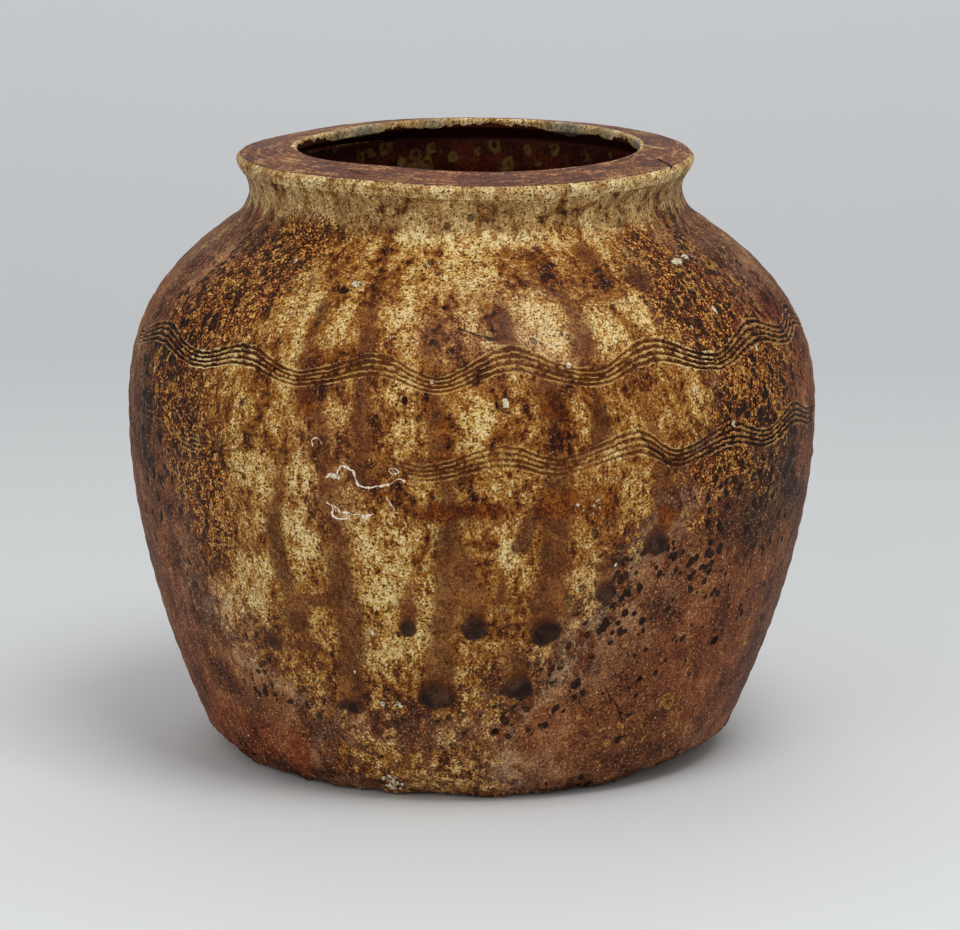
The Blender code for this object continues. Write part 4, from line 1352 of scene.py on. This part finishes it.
def comb_colour(nodes, colour, covered):
    """Dark grooves, brown under glaze and black on the sides, partly pooled glaze and partly painted shade,
    with thin painted highlights on the ridges between.
    """
    clear, groove_black = nodes.mark("clear"), nodes.mark("groove_black")
    phase = nodes.swing(nodes.mark("tines"), Blot=0.9)
    wave = nodes.swing(nodes.math("COSINE", nodes.times(phase, math.tau)), Crumb=1.5, Patch=1.2)
    groove = nodes.times(nodes.over(-0.1, wave, 0.4), nodes.over(phase, 0.0, 0.15))
    groove = nodes.times(groove, nodes.step(clear, 0.2, 0.8))
    filled = nodes.times(
        nodes.step(nodes.given["Blot"], 0.36, 0.5, 0.55, 1.0), nodes.step(groove_black, 0, 1, 0.8, 0.95)
    )
    # Groove colour: glaze pooled in the grooves, and painted shade there
    colour = nodes.paint(colour, nodes.blend(groove_black, tint(84, 40, 12), tint(18, 11, 7)), groove, filled)
    # Pale lines on the ridges: painted highlights
    ridge = nodes.times(nodes.over(wave, 0.66, 0.2), nodes.over(phase, -0.3, 0.1))
    ridge = nodes.times(ridge, nodes.step(clear, 0.35, 0.9))
    broken = nodes.times(
        nodes.step(nodes.given["Patch"], 0.38, 0.56, 0.15, 1.0), nodes.step(groove_black, 0, 1, 0.6, 0.95)
    )
    ridge_highlight_on_glaze = nodes.blend(groove_black, tint(216, 176, 104), tint(232, 204, 146))
    return nodes.paint(colour, nodes.blend(covered, tint(176, 130, 80), ridge_highlight_on_glaze), ridge, broken)


def drop_colour(nodes, colour):
    """Dark pools of glaze in a rusty rim; also where they are."""
    field = nodes.swing(nodes.mark("drop"), Blot=0.35, Crumb=0.25)
    halo = nodes.shades(nodes.given["Blot"], (0.35, 46, 18, 7), (0.65, 92, 46, 18))
    dark = nodes.shades(
        nodes.swing(nodes.given["Patch"], Grain=0.5), (0.34, 26, 12, 8), (0.52, 52, 32, 23),
        (0.72, 88, 58, 40),
    )
    inside = nodes.step(field, 0.0, 0.5)
    colour = nodes.paint(colour, halo, nodes.step(field, -0.30, 0.08), 0.85)
    return nodes.paint(colour, dark, inside), inside


def mark_colour(nodes, colour):
    """Pits and cuts dark, stuck grains and flaked lines white."""
    crumb = nodes.given["Crumb"]
    hole = nodes.shades(crumb, (0.4, 18, 12, 10), (0.65, 60, 24, 12))
    colour = nodes.paint(colour, hole, nodes.marked("pit", -0.05, 0.15, Grain=1.2))
    width = nodes.step(nodes.swing(1.0, Blot=4.0), 0.0, 2.0, 0.1, 1.7)
    broken = nodes.step(nodes.given["Grain"], 0.38, 0.48, 0.35, 1)
    for name, ink in (("cut", tint(34, 30, 30)), ("flake", tint(250, 232, 210))):
        beside = nodes.math("ABSOLUTE", nodes.mark(name + "_side"))
        line = nodes.times(nodes.over(width, beside, 0.4), nodes.step(nodes.mark(name), 0.3, 0.6))
        colour = nodes.paint(colour, ink, line, broken)
    stone = nodes.shades(crumb, (0.35, 160, 138, 100), (0.6, 236, 222, 192))
    colour = nodes.paint(colour, tint(60, 34, 18), nodes.marked("grain", -0.35, -0.1, Grain=1.4), 0.6)
    return nodes.paint(colour, stone, nodes.marked("grain", 0.0, 0.2, Grain=1.4))


def turned_streaks(nodes, radius, flat):
    """Streaks drawn round the rim by turning: noise that changes fast outward and slowly round."""
    slow = nodes.vector("MULTIPLY", nodes.vector("NORMALIZE", flat)["Vector"], (0.012, 0.012, 0))
    lifted = nodes.add("ShaderNodeCombineXYZ", Z=radius).outputs[0]
    ringed = nodes.vector("ADD", slow["Vector"], lifted)["Vector"]
    streaks = nodes.add("ShaderNodeTexNoise", Vector=ringed, Scale=620.0, Detail=4.0, Roughness=0.65)
    return streaks.outputs[0]


def rim_material(clay, ash):
    """The rim: crusty ash on its outer face, streaked bare clay on its flat, ash over the lip."""
    material, nodes, shader = new_material("streaked_rim")
    nodes.share_textures()
    bare = nodes.effect(clay, Red=0.4, Dark=0.0)
    pale = nodes.sum(0.35, (nodes.mark("tone"), 0.5))
    dust = nodes.effect(ash, Pale=pale, Thick=1.0, Neck=1.0, Bloom=0.0)
    split = nodes.add("ShaderNodeSeparateXYZ", Vector=nodes.spot()).outputs
    flat = nodes.add("ShaderNodeCombineXYZ", X=split[0], Y=split[1]).outputs[0]
    radius = nodes.vector("LENGTH", flat)["Value"]
    nodes.given["Streak"] = streaks = turned_streaks(nodes, radius, flat)
    value = nodes.swing(0.49, Streak=1.3, Crumb=0.9, Tone=0.5, Grain=0.5)
    colour = nodes.shades(
        value, (0.30, 26, 12, 7), (0.39, 78, 32, 14), (0.48, 120, 55, 26), (0.55, 106, 58, 32),
        (0.62, 140, 94, 56), (0.70, 190, 152, 104),
    )
    face = nodes.marked("ash", 0.28, 0.45, Blot=0.9, Crumb=0.6)
    lip = nodes.marked("lip", 0.35, 0.6, Blot=0.8)
    grey = nodes.shades(nodes.given["Crumb"], (0.35, 96, 88, 70), (0.65, 176, 166, 142))
    under = nodes.times(
        nodes.math("LESS_THAN", radius, (THROAT_RADIUS + 1) * MM),
        nodes.math("LESS_THAN", nodes.sum(split[2], (radius, LIP_SLOPE)), LIP_TOP_LIMIT * MM),
    )
    for ink, share, strength in (
        (bare["Colour"], 0.25, None),
        (dust["Colour"], face, None),
        (dust["Colour"], lip, None),
        (grey, nodes.mark("hang"), lip),
        (tint(64, 26, 16), under, nodes.math("SUBTRACT", 1.0, lip)),
        (tint(30, 22, 20), nodes.step(nodes.mark("pit"), 0.0, 0.4), None),
    ):
        colour = nodes.paint(colour, ink, share, strength)
    height = nodes.sum(0.0, (streaks, 0.9), (nodes.times(dust["Height"], face), 1.2))
    finish_shader(nodes, shader, colour, nodes.step(value, 0.3, 0.7, 0.44, 0.6), height, 0.22)
    return material


def inside_material():
    """The inner wall: dark maroon clay, with olive rings of dripped ash."""
    material, nodes, shader = new_material("maroon_inside")
    nodes.given = {"Tone": nodes.noise(9, 3), "Sand": nodes.noise(0.9, 2)}
    sand = nodes.given["Sand"]
    colour = nodes.shades(
        nodes.swing(0.5, Tone=0.9, Sand=0.7), (0.3, 36, 10, 5), (0.5, 64, 22, 12), (0.7, 98, 42, 25)
    )
    colour = nodes.paint(colour, tint(122, 96, 44), nodes.marked("ring", 0.3, 0.95, Sand=0.9), 0.75)
    finish_shader(nodes, shader, colour, nodes.step(sand, 0.3, 0.7, 0.45, 0.62), sand, 0.2)
    return material


def base_material(clay):
    """The underside: rough bare clay, sandy and a little redder."""
    material, nodes, shader = new_material("sandy_base")
    nodes.share_textures()
    bare, sand = nodes.effect(clay, Red=0.7, Dark=0.1), nodes.noise(5, 4)
    colour = nodes.paint(bare["Colour"], tint(150, 118, 84), nodes.step(sand, 0.5, 0.75, 0, 0.5))
    finish_shader(nodes, shader, colour, nodes.step(sand, 0.3, 0.7, 0.62, 0.8), bare["Height"], 0.35)
    return material


def make_jar():
    skin = Skin()
    clay, ash = clay_group(), ash_group()
    wall, rim = wall_material(clay, ash), rim_material(clay, ash)
    inside, base = inside_material(), base_material(clay)
    start = skin.start
    wall_rows = skin.outline[start["wall"] : start["rim"], 1]

    def row_at(height):
        return start["wall"] + int(np.argmin(np.abs(wall_rows - height)))

    skin_piece(skin, "base", 0, start["heel"], 2, base, cap=0)
    skin_piece(skin, "foot_edge", start["heel"], start["wall"], 6, wall)
    for name, low, high, strips in PIECE_BANDS:
        skin_piece(skin, name, row_at(low), row_at(high), strips, wall)
    skin_piece(skin, "neck", row_at(PIECE_BANDS[-1][2]), start["rim"], 5, wall)
    skin_piece(skin, "rim", start["rim"], start["inside"], 4, rim)
    skin_piece(skin, "inner_wall", start["inside"], start["floor"] - 1, 2, inside)
    skin_piece(skin, "inner_floor", start["floor"] - 1, len(skin.outline) - 1, 2, inside, cap=-1)


# Stage, lamps and camera


def make_stage():
    """A pale floor that curves up into a backdrop, a little paler towards the back."""
    profile = [(-STAGE_HALF, 0), (STAGE_REACH, 0)]
    for step in range(1, 25):
        turn = math.pi / 2 * step / 24
        profile.append((STAGE_REACH + STAGE_BEND * math.sin(turn), STAGE_BEND * (1 - math.cos(turn))))
    profile.append((STAGE_REACH + STAGE_BEND, STAGE_RISE))
    points = [(x, y, z - FLOOR_GAP) for y, z in profile for x in (-STAGE_HALF, STAGE_HALF)]
    faces = [(2 * i, 2 * i + 1, 2 * i + 3, 2 * i + 2) for i in range(len(profile) - 1)]
    mesh = bpy.data.meshes.new("backdrop")
    mesh.from_pydata(points, [], faces)
    mesh.shade_smooth()
    material, nodes, shader = new_material("pale_paper")
    depth = nodes.add("ShaderNodeSeparateXYZ", Vector=nodes.spot()).outputs[1]
    nodes.feed(shader.inputs["Base Color"], nodes.ramp(nodes.step(depth, -0.4, 2.4), PAPER_TONES))
    shader.inputs["Roughness"].default_value = 0.8
    shader.inputs["Specular IOR Level"].default_value = 0.2
    mesh.materials.append(material)
    linked("backdrop", mesh)


def make_lamp(name, aim, toward, distance, size, level):
    """A square soft box, seen from its aim in a direction, that gives a white card there a level."""
    direction = np.array(toward) / np.linalg.norm(toward)
    lamp = bpy.data.lights.new(name, "AREA")
    lamp.shape = "SQUARE"
    lamp.size = size
    lamp.energy = level * (math.pi * distance) ** 2
    box = linked(name, lamp)
    box.location = np.array(aim) + direction * distance
    box.rotation_euler = (math.acos(direction[2]), 0, math.atan2(direction[0], -direction[1]))


def make_light():
    world = bpy.data.worlds.new("studio")
    bpy.context.scene.world = world
    world.use_nodes = True
    surround = world.node_tree.nodes["Background"]
    surround.inputs["Color"].default_value = (1.0, 1.0, 1.0, 1)
    surround.inputs["Strength"].default_value = WORLD_LEVEL
    for name, *settings in LAMPS:
        make_lamp(name, *settings)


def make_camera():
    camera = bpy.data.cameras.new("camera")
    camera.lens = CAMERA_LENS
    camera.sensor_width = SENSOR_WIDTH
    camera.sensor_fit = "HORIZONTAL"
    holder = linked("camera", camera)
    holder.location = CAMERA_PLACE
    holder.rotation_euler = (math.pi / 2 - CAMERA_PITCH, 0, 0)
    bpy.context.scene.camera = holder


bpy.context.scene.view_settings.view_transform = "Standard"
make_camera()
make_stage()
make_light()
make_jar()
